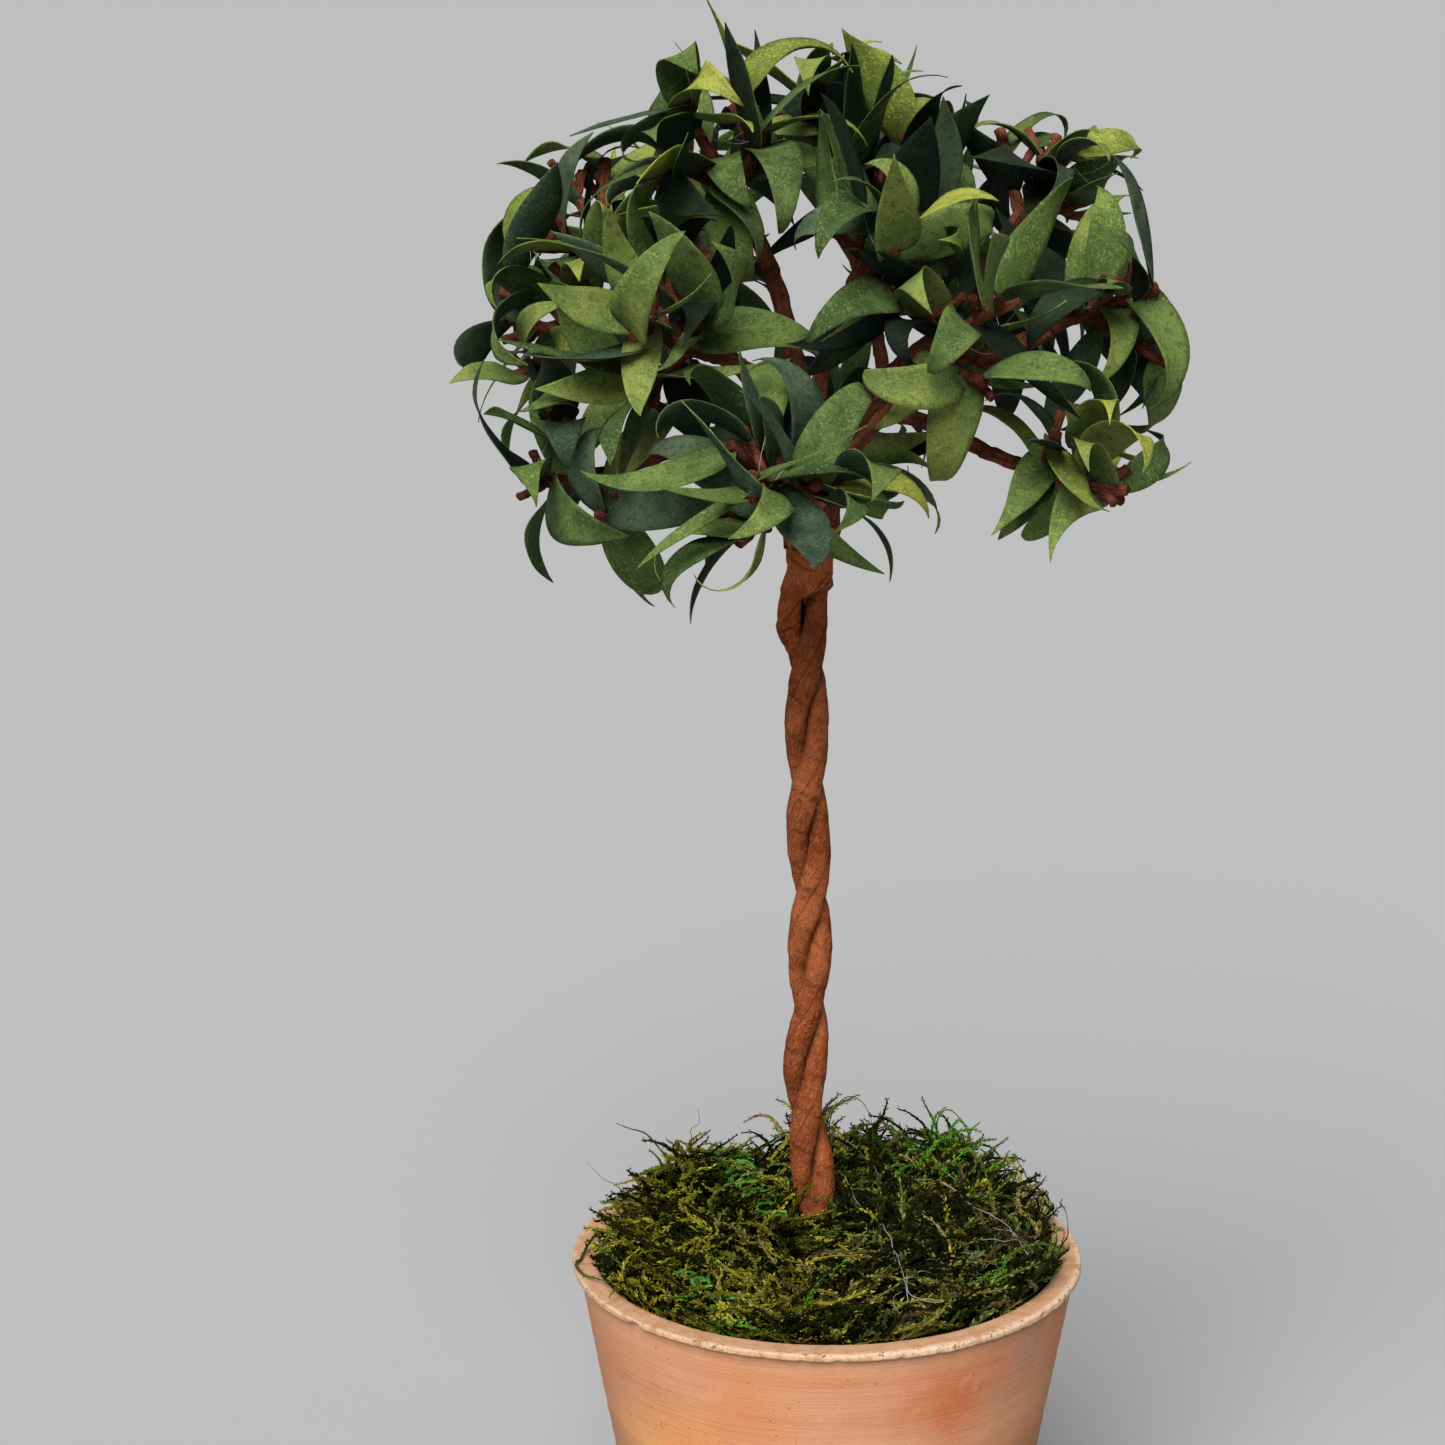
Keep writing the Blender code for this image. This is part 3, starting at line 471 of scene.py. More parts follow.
class Pile:
    """Points and faces of like shapes, joined into one piece."""

    def __init__(self):
        self.points = []
        self.faces = []
        self.places = []
        self.looks = []
        self.tones = []
        self.smooth = []

    def add(self, points, faces, places, looks=0, tone=0.0, flat=0):
        """Adds a shape, with one tone or a list of them. Its last faces stay flat, as flat says."""
        start = len(self.points)
        self.points += points
        self.faces += [tuple(k + start for k in face) for face in faces]
        self.places += places
        self.looks += [looks] * len(faces) if isinstance(looks, int) else looks
        self.tones += tone if isinstance(tone, list) else [tone] * len(points)
        self.smooth += [True] * (len(faces) - flat) + [False] * flat

    def piece(self, name, *materials):
        """One object, with a UV map of the places given and each shape's tone."""
        mesh = bpy.data.meshes.new(name)
        mesh.from_pydata(self.points, [], self.faces)
        for material in materials:
            mesh.materials.append(material)
        mesh.polygons.foreach_set("material_index", self.looks)
        corners = np.empty(len(mesh.loops), dtype=np.int32)
        mesh.loops.foreach_get("vertex_index", corners)
        layer = mesh.uv_layers.new(name="wrap")
        layer.data.foreach_set("uv", np.array(self.places, dtype=np.float32)[corners].ravel())
        tones = mesh.attributes.new("tone", "FLOAT", "POINT")
        tones.data.foreach_set("value", self.tones)
        mesh.polygons.foreach_set("use_smooth", self.smooth)
        return bpy.data.objects.new(name, mesh)


def between(table, at):
    """The second value of a table's rows, read at a first value, smoothly between the rows."""
    if at <= table[0][0]:
        return table[0][1]
    for low, high in zip(table, table[1:]):
        if at <= high[0]:
            t = (at - low[0]) / (high[0] - low[0])
            t = t * t * (3 - 2 * t)
            return low[1] + (high[1] - low[1]) * t
    return table[-1][1]


def skin(rings):
    """Faces between rings of equal count, with a cap at both ends, running along the rings."""
    count = len(rings[0])
    points = [point for ring in rings for point in ring]
    faces = [tuple(range(count))[::-1], tuple(range(len(points) - count, len(points)))]
    for row in range(len(rings) - 1):
        for k in range(count):
            a = row * count + k
            b = row * count + (k + 1) % count
            faces.append((a, b, b + count, a + count))
    return points, faces


def tape_relief(point, along, turn, pitch, edge):
    """How far wound tape stands out, with a low step at its slanting edge, and how near that is."""
    part = (along / pitch + turn / (2 * math.pi) + 0.12 * noise.noise(point * 160)) % 1.0
    step = edge * (1 - part) if part > 0.06 else edge * part / 0.06
    seam = max(0.0, 1 - min(abs(part - 0.02), abs(part - 1.02)) / 0.045)
    return step + 0.00014 * noise.noise(point * 420) + 0.00018 * noise.noise(point * 130), seam


def strand(side):
    foot = FILLER_TOP + CLEAR
    rings = []
    places = []
    seam_and_shade_tones = []
    for row in range(STRAND_ROWS + 1):
        height = foot + (STRAND_TOP - foot) * row / STRAND_ROWS
        phase = math.pi * ((height - CROSSING_HEIGHT) / HALF_TURN - 0.5 + side)
        out = Vector((math.cos(phase), math.sin(phase), 0))
        along = Vector((-math.sin(phase), math.cos(phase), 0))
        middle = Vector((between(TRUNK_SWAY, height), 0, height)) + out * STRAND_INNER
        swell = 1 + 0.05 * math.sin(height * 210 + 2 * side)
        ring = []
        for k in range(STRAND_SIDES):
            a = 2 * math.pi * k / STRAND_SIDES
            depth = STRAND_OUTER if math.cos(a) > 0 else STRAND_INNER
            spoke = out * depth * math.cos(a) * swell + along * STRAND_HALF_WIDTH * math.sin(a) * swell
            point = middle + spoke
            relief, seam = tape_relief(point, height, a + phase + 3 * side, TAPE_PITCH, TAPE_EDGE)
            ring.append(point + spoke.normalized() * relief)
            places.append((0.0032 * a, height))
            seam_and_shade_tones.append(0.7 * seam)
        rings.append(ring)
    return *skin(rings), places, seam_and_shade_tones


def taped(name, dark, light, fibres):
    """Brown paper tape: felted fibres, with painted shade in its dents. Its tone darkens it along the seam lines and
    paints shade in creases, grooves and, near black, the collar's cleft. The fibres are given as how many cross a
    metre, round the limb and along it."""
    tape = Finish(name, 0.92, specular=0.04)
    place = tape.place()
    wound = tape.uv("wrap")
    seam = tape.attribute("tone")
    fibre = tape.noise(tape.stretched(wound, (*fibres, 1), 0.25), 1.0, 3, 0.6)
    cross = tape.noise(tape.stretched(wound, (1900, 900, 1), -0.7), 1.0, 3, 0.6)
    felt = tape.noise(place, 1700, 4, 0.7)
    cloud = tape.noise(place, 85, 3, 0.6)
    colour = tape.mix(cloud.rise(0.32, 0.68), dark, light)
    colour = tape.mix((fibre * 0.6 + cross * 0.4).rise(0.50, 0.66) * 0.70, colour, [c * 1.60 for c in light])
    colour = tape.mix(felt.rise(0.50, 0.66) * 0.60, colour, [c * 0.50 for c in dark])
    # Painted shade: the tape is darkened in its dents.
    dents = tape.noise(place, 330, 3, 0.6).rise(0.55, 0.72)
    colour = tape.mix(dents * 0.55, colour, [c * 0.50 for c in dark])
    # The tone darkens the tape's seams, and where the collar and limbs add to it, it is painted shade in creases,
    # grooves and the cleft.
    colour = tape.mix(seam * 0.90, colour, [c * 0.35 for c in dark])
    # Painted shadow: the highest tones, found only in the collar's cleft, go near black.
    colour = tape.mix(seam.rise(0.72, 1.0), colour, [c * 0.06 for c in dark])
    relief = fibre * 0.9 + cross * 0.5 + felt * 0.8 - dents * 0.6
    return tape.done(colour, None, relief, 0.00040)


trunk_tape = taped("trunk_tape", (0.132, 0.031, 0.010), (0.270, 0.080, 0.028), (1500, 700))
for side, letter in enumerate("ab"):
    wound = Pile()
    points, faces, places, seam_and_shade_tones = strand(side)
    wound.add(points, faces, places, tone=seam_and_shade_tones)
    give(wound.piece("strand_" + letter, trunk_tape), ["trunk_strand_" + letter])


# Collar. The trunk's tape in a lighter colour, painted light against the crown's shadow, wound first
# round the left strand alone, where it bulges, and then over both strands up to the fork. Its edge
# slants up to the right, where the other strand comes out from under it, and creases run slanting
# over it, with painted shade along them and in the cleft.

COLLAR_GIRTH = (
    # height, half width across the front, half depth
    (0.2432, 0.0047, 0.0044), (0.2465, 0.0054, 0.0047), (0.2509, 0.0058, 0.0050),
    (0.2552, 0.0056, 0.0052), (0.2596, 0.0049, 0.0050), (0.2639, 0.0051, 0.0051),
    (0.2690, 0.0061, 0.0060),
)
COLLAR_START = 0.2395
COLLAR_ROWS = 130
COLLAR_SIDES = 96
STRAND_BULGE = (
    # height, radius of the tape round the left strand
    (0.2395, 0.0026), (0.2420, 0.0035), (0.2450, 0.0040), (0.2490, 0.0043), (0.2540, 0.0042),
)
MOUTH_HEIGHT = 0.2515
MOUTH_SLANT = 0.0040
MOUTH_SPREAD = 0.0026
CLEFT_PINCH = 0.45
COLLAR_CREASES = (
    # height at its middle, slant, depth, the side that it is on in degrees from +X
    (0.2518, 0.0064, 0.00065, 292), (0.2538, 0.0060, 0.00045, 300), (0.2618, 0.0044, 0.00055, 312),
    (0.2600, -0.0030, 0.00035, 232), (0.2655, -0.0022, 0.00030, 250), (0.2580, 0.0040, 0.00045, 110),
    (0.2530, 0.0030, 0.00035, 60), (0.2478, 0.0022, 0.00040, 240),
)
FORK_BOUGHS = 6


def collar():
    widths = [(row[0], row[1]) for row in COLLAR_GIRTH]
    depths = [(row[0], row[2]) for row in COLLAR_GIRTH]
    rings = []
    places = []
    seam_and_shade_tones = []
    for row in range(COLLAR_ROWS + 1):
        part = row / COLLAR_ROWS
        height = COLLAR_START + (FORK_HEIGHT - COLLAR_START) * part
        phase = math.pi * ((height - CROSSING_HEIGHT) / HALF_TURN + 0.5)
        middle = Vector((between(TRUNK_SWAY, height), 0, height))
        left = middle + Vector((math.cos(phase), math.sin(phase), 0)) * STRAND_HALF_WIDTH * 0.72
        bulge = between(STRAND_BULGE, height)
        width = between(widths, height)
        depth = between(depths, height)
        ring = []
        for k in range(COLLAR_SIDES):
            a = 2 * math.pi * k / COLLAR_SIDES
            spoke = Vector((math.cos(a), math.sin(a), 0))
            mouth = MOUTH_HEIGHT + MOUTH_SLANT * math.cos(a + 0.5)
            over = max(0.0, min(1.0, (height - mouth) / MOUTH_SPREAD + 0.5))
            over = over * over * (3 - 2 * over)
            alone = left + spoke * bulge * (1 - CLEFT_PINCH * max(0.0, math.cos(a)))
            both = middle + Vector((width * math.cos(a), depth * math.sin(a), 0))
            point = alone.lerp(both, over)
            crease = 0.0
            for level, slant, dent, middle_turn in COLLAR_CREASES:
                away = height - level - slant * math.cos(a) - 0.0008 * noise.noise(point * 220)
                shut = (math.cos(a - math.radians(middle_turn)) - 0.5) * 2
                crease += dent * math.exp(-(away / 0.00026) ** 2) * max(0.0, min(1.0, shut))
            # Painted shadow: the cleft where the bulging left strand meets the other is darkened to near black.
            painted_cleft_shadow = max(0.0, min(1.0, (math.cos(a) - 0.15) * 3)) * (1 - over) * (height > 0.2425)
            lobes = 0.0006 * math.cos(FORK_BOUGHS * a) * max(0.0, part - 0.80) / 0.20
            relief, seam = tape_relief(point, height, a, 0.0060, 0.00020)
            ring.append(point + spoke * (relief - crease + lobes))
            places.append((0.005 * a, height))
            # The tone is the tape's seam plus painted shade along the creases and in the cleft.
            seam_and_shade_tones.append(min(1.0, min(0.7, 0.4 * seam + crease * 1800) + painted_cleft_shadow))
        rings.append(ring)
    return *skin(rings), places, seam_and_shade_tones


# The collar's tape is the trunk's tape in a lighter colour: painted light against the crown's shadow.
collar_tape_painted_light = taped("collar_tape_painted_light", (0.145, 0.032, 0.010), (0.370, 0.100, 0.036), (1500, 700))
wound = Pile()
points, faces, places, seam_and_shade_tones = collar()
wound.add(points, faces, places, tone=seam_and_shade_tones)
give(wound.piece("collar", collar_tape_painted_light), ["trunk_collar"])


# Boughs. Taped wires that leave the fork in a ring round the leader, and side boughs bound to
# them. Each keeps the place and girth of its own solid, and their windings show.

BOUGH_RADIUS = 0.0019
FORK_RING = 2 * BOUGH_RADIUS + CLEAR
BOUGH_POINTS = 7
SIDE_THICKNESS = 0.82
SIDE_FOLLOWS = 0.25
FORK_PULL = 0.42
SIDE_PULL = 0.30
TIP_PULL = 0.34
TIP_LEVEL = 0.5
BOUGHS = (
    # name, parent, place on the parent or ring angle, tip azimuth, tip reach, tip height, tip taper
    ("leader", "fork", None, 20, 0.0100, 0.326, 0.80),
    ("right", "fork", 0, -14, 0.0480, 0.311, 0.98),
    ("back_right", "fork", 60, 48, 0.0440, 0.313, 0.80),
    ("back_left", "fork", 120, 132, 0.0440, 0.312, 0.80),
    ("left", "fork", 180, 186, 0.0450, 0.307, 0.84),
    ("top_left", "fork", 240, 218, 0.0210, 0.334, 0.80),
    ("front_right", "fork", 300, 300, 0.0360, 0.304, 0.80),
    ("right_low", "right", 0.42, -30, 0.0450, 0.284, 0.85),
    ("right_high", "right", 0.66, 6, 0.0380, 0.330, 0.85),
    ("left_low", "left", 0.42, 200, 0.0440, 0.283, 0.85),
    ("left_high", "left", 0.62, 172, 0.0430, 0.325, 0.85),
    ("back_low", "back_left", 0.36, 92, 0.0400, 0.285, 0.85),
    ("back_high", "back_right", 0.58, 84, 0.0260, 0.338, 0.85),
    ("front_low", "front_right", 0.40, 262, 0.0380, 0.283, 0.85),
    ("front_left", "top_left", 0.36, 226, 0.0330, 0.306, 0.85),
    ("front_high", "leader", 0.60, 292, 0.0240, 0.321, 0.85),
)
BOUGH_STEPS = 60
LIMB_SIDES = 18


def polar(azimuth, reach, height):
    turn = math.radians(azimuth)
    return Vector((reach * math.cos(turn), reach * math.sin(turn), height))


def curve_point(ends, t):
    """A point of the cubic curve through four control points."""
    a, b, c, d = ends
    u = 1 - t
    return a * u ** 3 + b * 3 * u * u * t + c * 3 * u * t * t + d * t ** 3


def lay_out_boughs():
    """Each bough's centre line and its radii, and the curve that it lies on, by name."""
    fork = Vector((between(TRUNK_SWAY, FORK_HEIGHT), 0, FORK_HEIGHT + CLEAR))
    laid = {}
    curves = {}
    for name, parent, place, azimuth, reach, height, taper in BOUGHS:
        tip = polar(azimuth, reach, height)
        if parent == "fork":
            root = fork if place is None else fork + polar(place, FORK_RING, 0)
            start = UP
            radius = BOUGH_RADIUS
        else:
            line, radii = laid[parent]
            at = place * (BOUGH_POINTS - 1)
            low = int(at)
            on = line[low].lerp(line[low + 1], at - low)
            stem = (line[low + 1] - line[low]).normalized()
            here = radii[low] + (radii[low + 1] - radii[low]) * (at - low)
            radius = here * SIDE_THICKNESS
            start = ((tip - on).normalized() + stem * SIDE_FOLLOWS).normalized()
            lean = stem.angle(start)
            root = on + start * ((here + CLEAR + radius * math.cos(lean)) / math.sin(lean))
        length = (tip - root).length
        finish_way = ((tip - root).normalized() + polar(azimuth, TIP_LEVEL, 0)).normalized()
        pull = FORK_PULL if parent == "fork" else SIDE_PULL
        ends = (root, root + start * length * pull, tip - finish_way * length * TIP_PULL, tip)
        line = [curve_point(ends, k / (BOUGH_POINTS - 1)) for k in range(BOUGH_POINTS)]
        radii = [
            radius * (1 + (taper - 1) * k / (BOUGH_POINTS - 1)) for k in range(BOUGH_POINTS)
        ]
        laid[name] = (line, radii)
        curves[name] = ends
    return laid, curves


def limb(line, radii, pitch, edge, start_turn, blunt=False):
    """A taped limb along a line: a round skin with the tape's winding on it."""
    rings = []
    places = []
    seam_and_shade_tones = []
    across = (line[1] - line[0]).normalized().orthogonal().normalized()
    run = 0.0
    for k, point in enumerate(line):
        way = (line[min(k + 1, len(line) - 1)] - line[max(k - 1, 0)]).normalized()
        across = (across - way * across.dot(way)).normalized()
        over = way.cross(across)
        if k:
            run += (point - line[k - 1]).length
        ring = []
        for side in range(LIMB_SIDES):
            a = 2 * math.pi * side / LIMB_SIDES
            spoke = across * math.cos(a) + over * math.sin(a)
            skin_point = point + spoke * radii[k]
            relief, seam = tape_relief(skin_point, run, a + start_turn, pitch, edge)
            ridge = 0.00016 * noise.noise(Vector((4 * math.cos(a), 4 * math.sin(a), run * 90 + start_turn)))
            ring.append(skin_point + spoke * (relief + ridge))
            places.append((0.0018 * a, run))
            # The tone is the tape's seam plus painted shade where the ridges sink in.
            seam_and_shade_tones.append(min(0.7, 0.6 * seam + max(0.0, -ridge * 6500)))
        rings.append(ring)
    if blunt:
        way = (line[-1] - line[-2]).normalized()
        rings.append([line[-1] + way * radii[-1] * 0.16 + (p - line[-1]) * 0.78 for p in rings[-1]])
        places += [(0.0018 * 2 * math.pi * k / LIMB_SIDES, run + 0.0003) for k in range(LIMB_SIDES)]
        seam_and_shade_tones += [0.5] * LIMB_SIDES
    return *skin(rings), places, seam_and_shade_tones


laid, bough_curves = lay_out_boughs()
limb_tape = taped("limb_tape", (0.048, 0.014, 0.007), (0.185, 0.064, 0.034), (2600, 380))
draw = random.Random(11)
wound = Pile()
for name, (line, radii) in laid.items():
    ends = bough_curves[name]
    fine = [curve_point(ends, k / BOUGH_STEPS) for k in range(BOUGH_STEPS + 1)]
    girth = [radii[0] + (radii[-1] - radii[0]) * k / BOUGH_STEPS for k in range(BOUGH_STEPS + 1)]
    root = fine[0] - (fine[1] - fine[0]).normalized() * (0.005 if fine[0].z < 0.27 else 0.0012)
    points, faces, places, seam_and_shade_tones = limb([root] + fine, [girth[0]] + girth, 0.0056, 0.00030, draw.uniform(0, 6))
    wound.add(points, faces, places, tone=seam_and_shade_tones)
give(wound.piece("boughs", limb_tape), ["bough_" + name for name in laid])


# Twigs. Each bough's tip carries a stem and four blunt taped twigs, grown by the same seeded rule
# as the solids. Finer twigs leave them, cut off square like the rest.

CROWN_HEIGHT = 0.3130
CROWN_REACH = 0.0830
CROWN_HALF_HEIGHT = 0.0635
CROWN_BOXINESS = 3.0
CROWN_OUTLINE = (
    # its reach from its middle seen from the front, every ten degrees round from +X
    0.081, 0.069, 0.073, 0.080, 0.068, 0.059, 0.060, 0.057, 0.062, 0.060, 0.057, 0.069,
    0.062, 0.059, 0.065, 0.075, 0.074, 0.077, 0.079, 0.078, 0.072, 0.077, 0.081, 0.075,
    0.065, 0.060, 0.062, 0.061, 0.048, 0.054, 0.052, 0.070, 0.071, 0.083, 0.075, 0.079,
)
NECK_RADIUS = 0.0130
NECK_TOP = 0.2660
GAPS = (
    # x, z, half width, half height
    (-0.0040, 0.3230, 0.0046, 0.0062), (-0.0030, 0.2540, 0.0125, 0.0135),
)
TIP_BEYOND = 0.0065
SPACE_SLACK = 0.0060
STEM_LENGTH = 0.0100
STEM_RADIUS = 0.00135
TWIG_RADIUS = 0.00120
TWIG_TAPER = 0.92
TWIGS_A_MASS = 4
TWIG_STEPS = 3
TWIG_LENGTHS = (0.0130, 0.0220)
FIRST_SPREADS = (4, 20)
TWIG_SPREADS = (34, 66)
TWIG_LIFT = 0.10
TWIG_SUNK = 0.04
TWIG_PLACES = (0.35, 0.60)
TWIG_TURN_SLACK = 25
TWIG_TURN_STEP = 20
TWIG_ROOM = 0.0012
TWIG_BEYOND = 0.35
TWIG_TRIES = 60
GOLDEN_ANGLE = 137.5
NECK_STEPS = (0.22, 0.24, 0.25, 0.26, FORK_HEIGHT)
NECK_HALF_WIDTH = 0.0062
TWIG_SEEDS = (138, 583, 186, 822, 783, 65, 262, 564, 508, 780, 599, 484, 668, 389, 808, 215)
FINE_SEED = 31
FINE_RADIUS = 0.00085
FINE_LENGTHS = (0.0055, 0.0100)
FINE_SPREADS = (32, 58)
FINE_TRIES = 14
BARE_FINE_TWIGS = ("right", "left", "back_right", "front_right")


def sleeve(line, radii, extra):
    """A five-sided tube round a line, as points and faces, for testing what a limb touches."""
    sides = 5
    rings = []
    for k, point in enumerate(line):
        way = (line[min(k + 1, len(line) - 1)] - line[max(k - 1, 0)]).normalized()
        across = way.orthogonal().normalized()
        over = way.cross(across)
        radius = radii[k] + extra
        ring = []
        for side in range(sides):
            a = 2 * math.pi * side / sides
            ring.append(point + (across * math.cos(a) + over * math.sin(a)) * radius)
        rings.append(ring)
    return skin(rings)


def tree_of(shape):
    points, faces = shape
    return BVHTree.FromPolygons(points, faces)


def outline(turn):
    """The crown's reach at an angle in radians, seen from the front."""
    at = (turn / (2 * math.pi) * len(CROWN_OUTLINE)) % len(CROWN_OUTLINE)
    low = int(at)
    after = CROWN_OUTLINE[(low + 1) % len(CROWN_OUTLINE)]
    return CROWN_OUTLINE[low] + (after - CROWN_OUTLINE[low]) * (at - low)


def in_crown(point, beyond=0.0):
    """True where the crown may have leaves."""
    over = point.z - CROWN_HEIGHT
    if math.hypot(point.x, over) > outline(math.atan2(over, point.x)) + beyond:
        return False
    rho = math.hypot(point.x, point.y)
    out = (rho / (CROWN_REACH + beyond)) ** CROWN_BOXINESS
    if out + (abs(over) / (CROWN_HALF_HEIGHT + beyond / 4)) ** CROWN_BOXINESS > 1:
        return False
    if rho < NECK_RADIUS and point.z < NECK_TOP:
        return False
    for x, z, half_width, half_height in GAPS:
        if ((point.x - x) / half_width) ** 2 + ((point.z - z) / half_height) ** 2 < 1:
            return False
    return True


def reach_from(point, line):
    """How far a point lies from a line of points."""
    best = 1.0
    for a, b in zip(line, line[1:]):
        span = b - a
        t = max(0.0, min(1.0, (point - a).dot(span) / span.length_squared))
        best = min(best, (point - a - span * t).length)
    return best


def grow_twigs(seed, line, taken):
    """The stem that goes on from a bough, and its twigs, each a line with radii."""
    draw = random.Random(seed)
    way = (line[-1] - line[-2]).normalized()
    foot = line[-1] + way * CLEAR
    stem = [foot + way * STEM_LENGTH * k / 2 for k in range(3)]
    limbs = [(stem, [STEM_RADIUS] * 3)]
    side = way.orthogonal().normalized()
    first = draw.uniform(0, 360)
    for number in range(TWIGS_A_MASS):
        for attempt in range(TWIG_TRIES):
            spread = draw.uniform(*(TWIG_SPREADS if number else FIRST_SPREADS))
            slack = draw.uniform(-TWIG_TURN_SLACK, TWIG_TURN_SLACK)
            turn = first + GOLDEN_ANGLE * number + slack + TWIG_TURN_STEP * attempt
            length = draw.uniform(*TWIG_LENGTHS)
            place = TWIG_PLACES[0] + TWIG_PLACES[1] * number / TWIGS_A_MASS if number else 1.0
            out = Quaternion(way, math.radians(turn)) @ side
            aim = way * math.cos(math.radians(spread)) + out * math.sin(math.radians(spread))
            root = foot + way * STEM_LENGTH * (place - TWIG_SUNK)
            parts = [k / TWIG_STEPS for k in range(TWIG_STEPS + 1)]
            twig = [root + (aim * t + UP * TWIG_LIFT * t * t) * length for t in parts]
            radii = [TWIG_RADIUS * (1 + (TWIG_TAPER - 1) * t) for t in parts]
            free = tree_of(sleeve(twig[1:], radii[1:], TWIG_ROOM))
            beyond = [point + (point - twig[0]) * TWIG_BEYOND for point in twig[2:]]
            if not all(in_crown(point) for point in beyond):
                continue
            if any(free.overlap(other) for other in taken):
                continue
            limbs.append((twig, radii))
            taken.append(tree_of(sleeve(twig[1:], radii[1:], 0)))
            break
    taken.append(tree_of(sleeve(stem, [STEM_RADIUS] * 3, 0)))
    return limbs


def grow_fine(draw, twig, taken):
    """A finer twig from a twig's side, or none where there is no room."""
    way = (twig[-1] - twig[-2]).normalized()
    side = way.orthogonal().normalized()
    for _ in range(FINE_TRIES):
        spread = math.radians(draw.uniform(*FINE_SPREADS))
        out = Quaternion(way, draw.uniform(0, 2 * math.pi)) @ side
        aim = way * math.cos(spread) + out * math.sin(spread)
        length = draw.uniform(*FINE_LENGTHS)
        root = twig[1].lerp(twig[2], draw.uniform(0.1, 1.2))
        line = [root + (aim * t + UP * TWIG_LIFT * t * t) * length for t in (0, 1 / 3, 2 / 3, 1)]
        free = tree_of(sleeve(line[2:], [FINE_RADIUS] * 2, TWIG_ROOM))
        if in_crown(line[-1] + aim * 0.006) and not any(free.overlap(other) for other in taken):
            taken.append(tree_of(sleeve(line[2:], [FINE_RADIUS] * 2, 0)))
            return line, [FINE_RADIUS] * 4
    return None


def smooth_line(line, radii, count):
    """A curve through a line's points, with its radii."""
    ends = [line[0] * 2 - line[1]] + line + [line[-1] * 2 - line[-2]]
    fine = []
    girth = []
    for span in range(len(line) - 1):
        a, b, c, d = ends[span:span + 4]
        for k in range(count + (span == len(line) - 2)):
            t = k / count
            fine.append(0.5 * (2 * b + (c - a) * t + (2 * a - 5 * b + 4 * c - d) * t * t
                               + (3 * b - a - 3 * c + d) * t ** 3))
            girth.append(radii[span] + (radii[span + 1] - radii[span]) * t)
    return fine, girth


taken = [tree_of(sleeve(line, radii, 0)) for line, radii in laid.values()]
neck = [Vector((between(TRUNK_SWAY, z), 0, z)) for z in NECK_STEPS]
taken.append(tree_of(sleeve(neck, [NECK_HALF_WIDTH] * len(neck), 0)))
limbs = {}
for (name, (line, _)), seed in zip(laid.items(), TWIG_SEEDS):
    limbs[name] = grow_twigs(seed, line, taken)


# Leaves. Cut by hand from green crepe paper in a drawn-out pointed shape, curled over a blade and
# glued by their narrow roots round each twig. They follow the solids' rule, and finer twigs carry
# a few more.

LEAVES_A_TWIG = 5
LEAF_PLACES = (0.24, 0.64)
LEAF_LENGTHS = (0.0235, 0.0335)
LEAF_WIDTHS = (0.36, 0.44)
LEAF_THICKNESS = 0.00034
LEAF_ROOT_POWER = 0.95
LEAF_TIP_POWER = 1.40
LEAF_CUP = (0.04, 0.12)
LEAF_CURLS = (-40, 150)
LEAF_SWEEPS = (-45, 45)
LEAF_ROLLS = (-50, 50)
LEAF_LEANS = (30, 88)
LEAF_LIFT = 0.12
LEAF_FACING = 0.8
LEAF_FACE_SLACK = 0.9
LEAF_PLACE_SLACK = (-0.05, 0.03)
LEAF_TURN_SLACK = 40
LEAF_TURN_STEP = 31
LEAF_STEPS = 12
LEAF_SECTIONS = (4, 8)
BODY_SECTIONS = (3, 6, 9)
TESTED_SECTIONS = ((3, 4, 8, 12), (3, 6, 9, 12))
LEAF_TRIES = 70
NEAR_STEM = 0.050
NEAR_LEAF = 0.036
STANDING_SKIN = 0.00001
LEAF_SEEDS = (868, 818, 631, 596, 998, 496, 504, 548, 220, 403, 308, 134, 347, 506, 24, 409)


def blade_width(part):
    """The blade's width along its length, as a part of its greatest width."""
    peak = LEAF_ROOT_POWER / (LEAF_ROOT_POWER + LEAF_TIP_POWER)
    root = (part / peak) ** LEAF_ROOT_POWER
    return root * ((1 - part) / (1 - peak)) ** LEAF_TIP_POWER


def leaf_stations(root, aim, face, length, curl, sweep, roll):
    """The midrib's points, each with the direction across the blade and the blade's face."""
    point = root.copy()
    tangent = aim.copy()
    normal = face.copy()
    stations = []
    for step in range(LEAF_STEPS + 1):
        stations.append((point.copy(), tangent.cross(normal), normal.copy()))
        part = (step + 0.5) / LEAF_STEPS
        across = tangent.cross(normal)
        bend = Quaternion(across, math.radians(-curl * 2 * part / LEAF_STEPS))
        side = Quaternion(normal, math.radians(sweep * 2 * part / LEAF_STEPS))
        twist = Quaternion(tangent, math.radians(roll / LEAF_STEPS))
        turn = twist @ side @ bend
        tangent = (turn @ tangent).normalized()
        normal = (turn @ normal).normalized()
        point = point + tangent * length / LEAF_STEPS
    return stations


def raised_split(points, corners):
    """Two triangles of a four-cornered face, split so that the fold between them stands out."""
    a, b, c, d = corners
    outward = (points[b] - points[a]).cross(points[c] - points[a])
    if outward.dot(points[d] - points[a]) < 0:
        return [(a, b, c), (a, c, d)]
    return [(a, b, d), (b, c, d)]


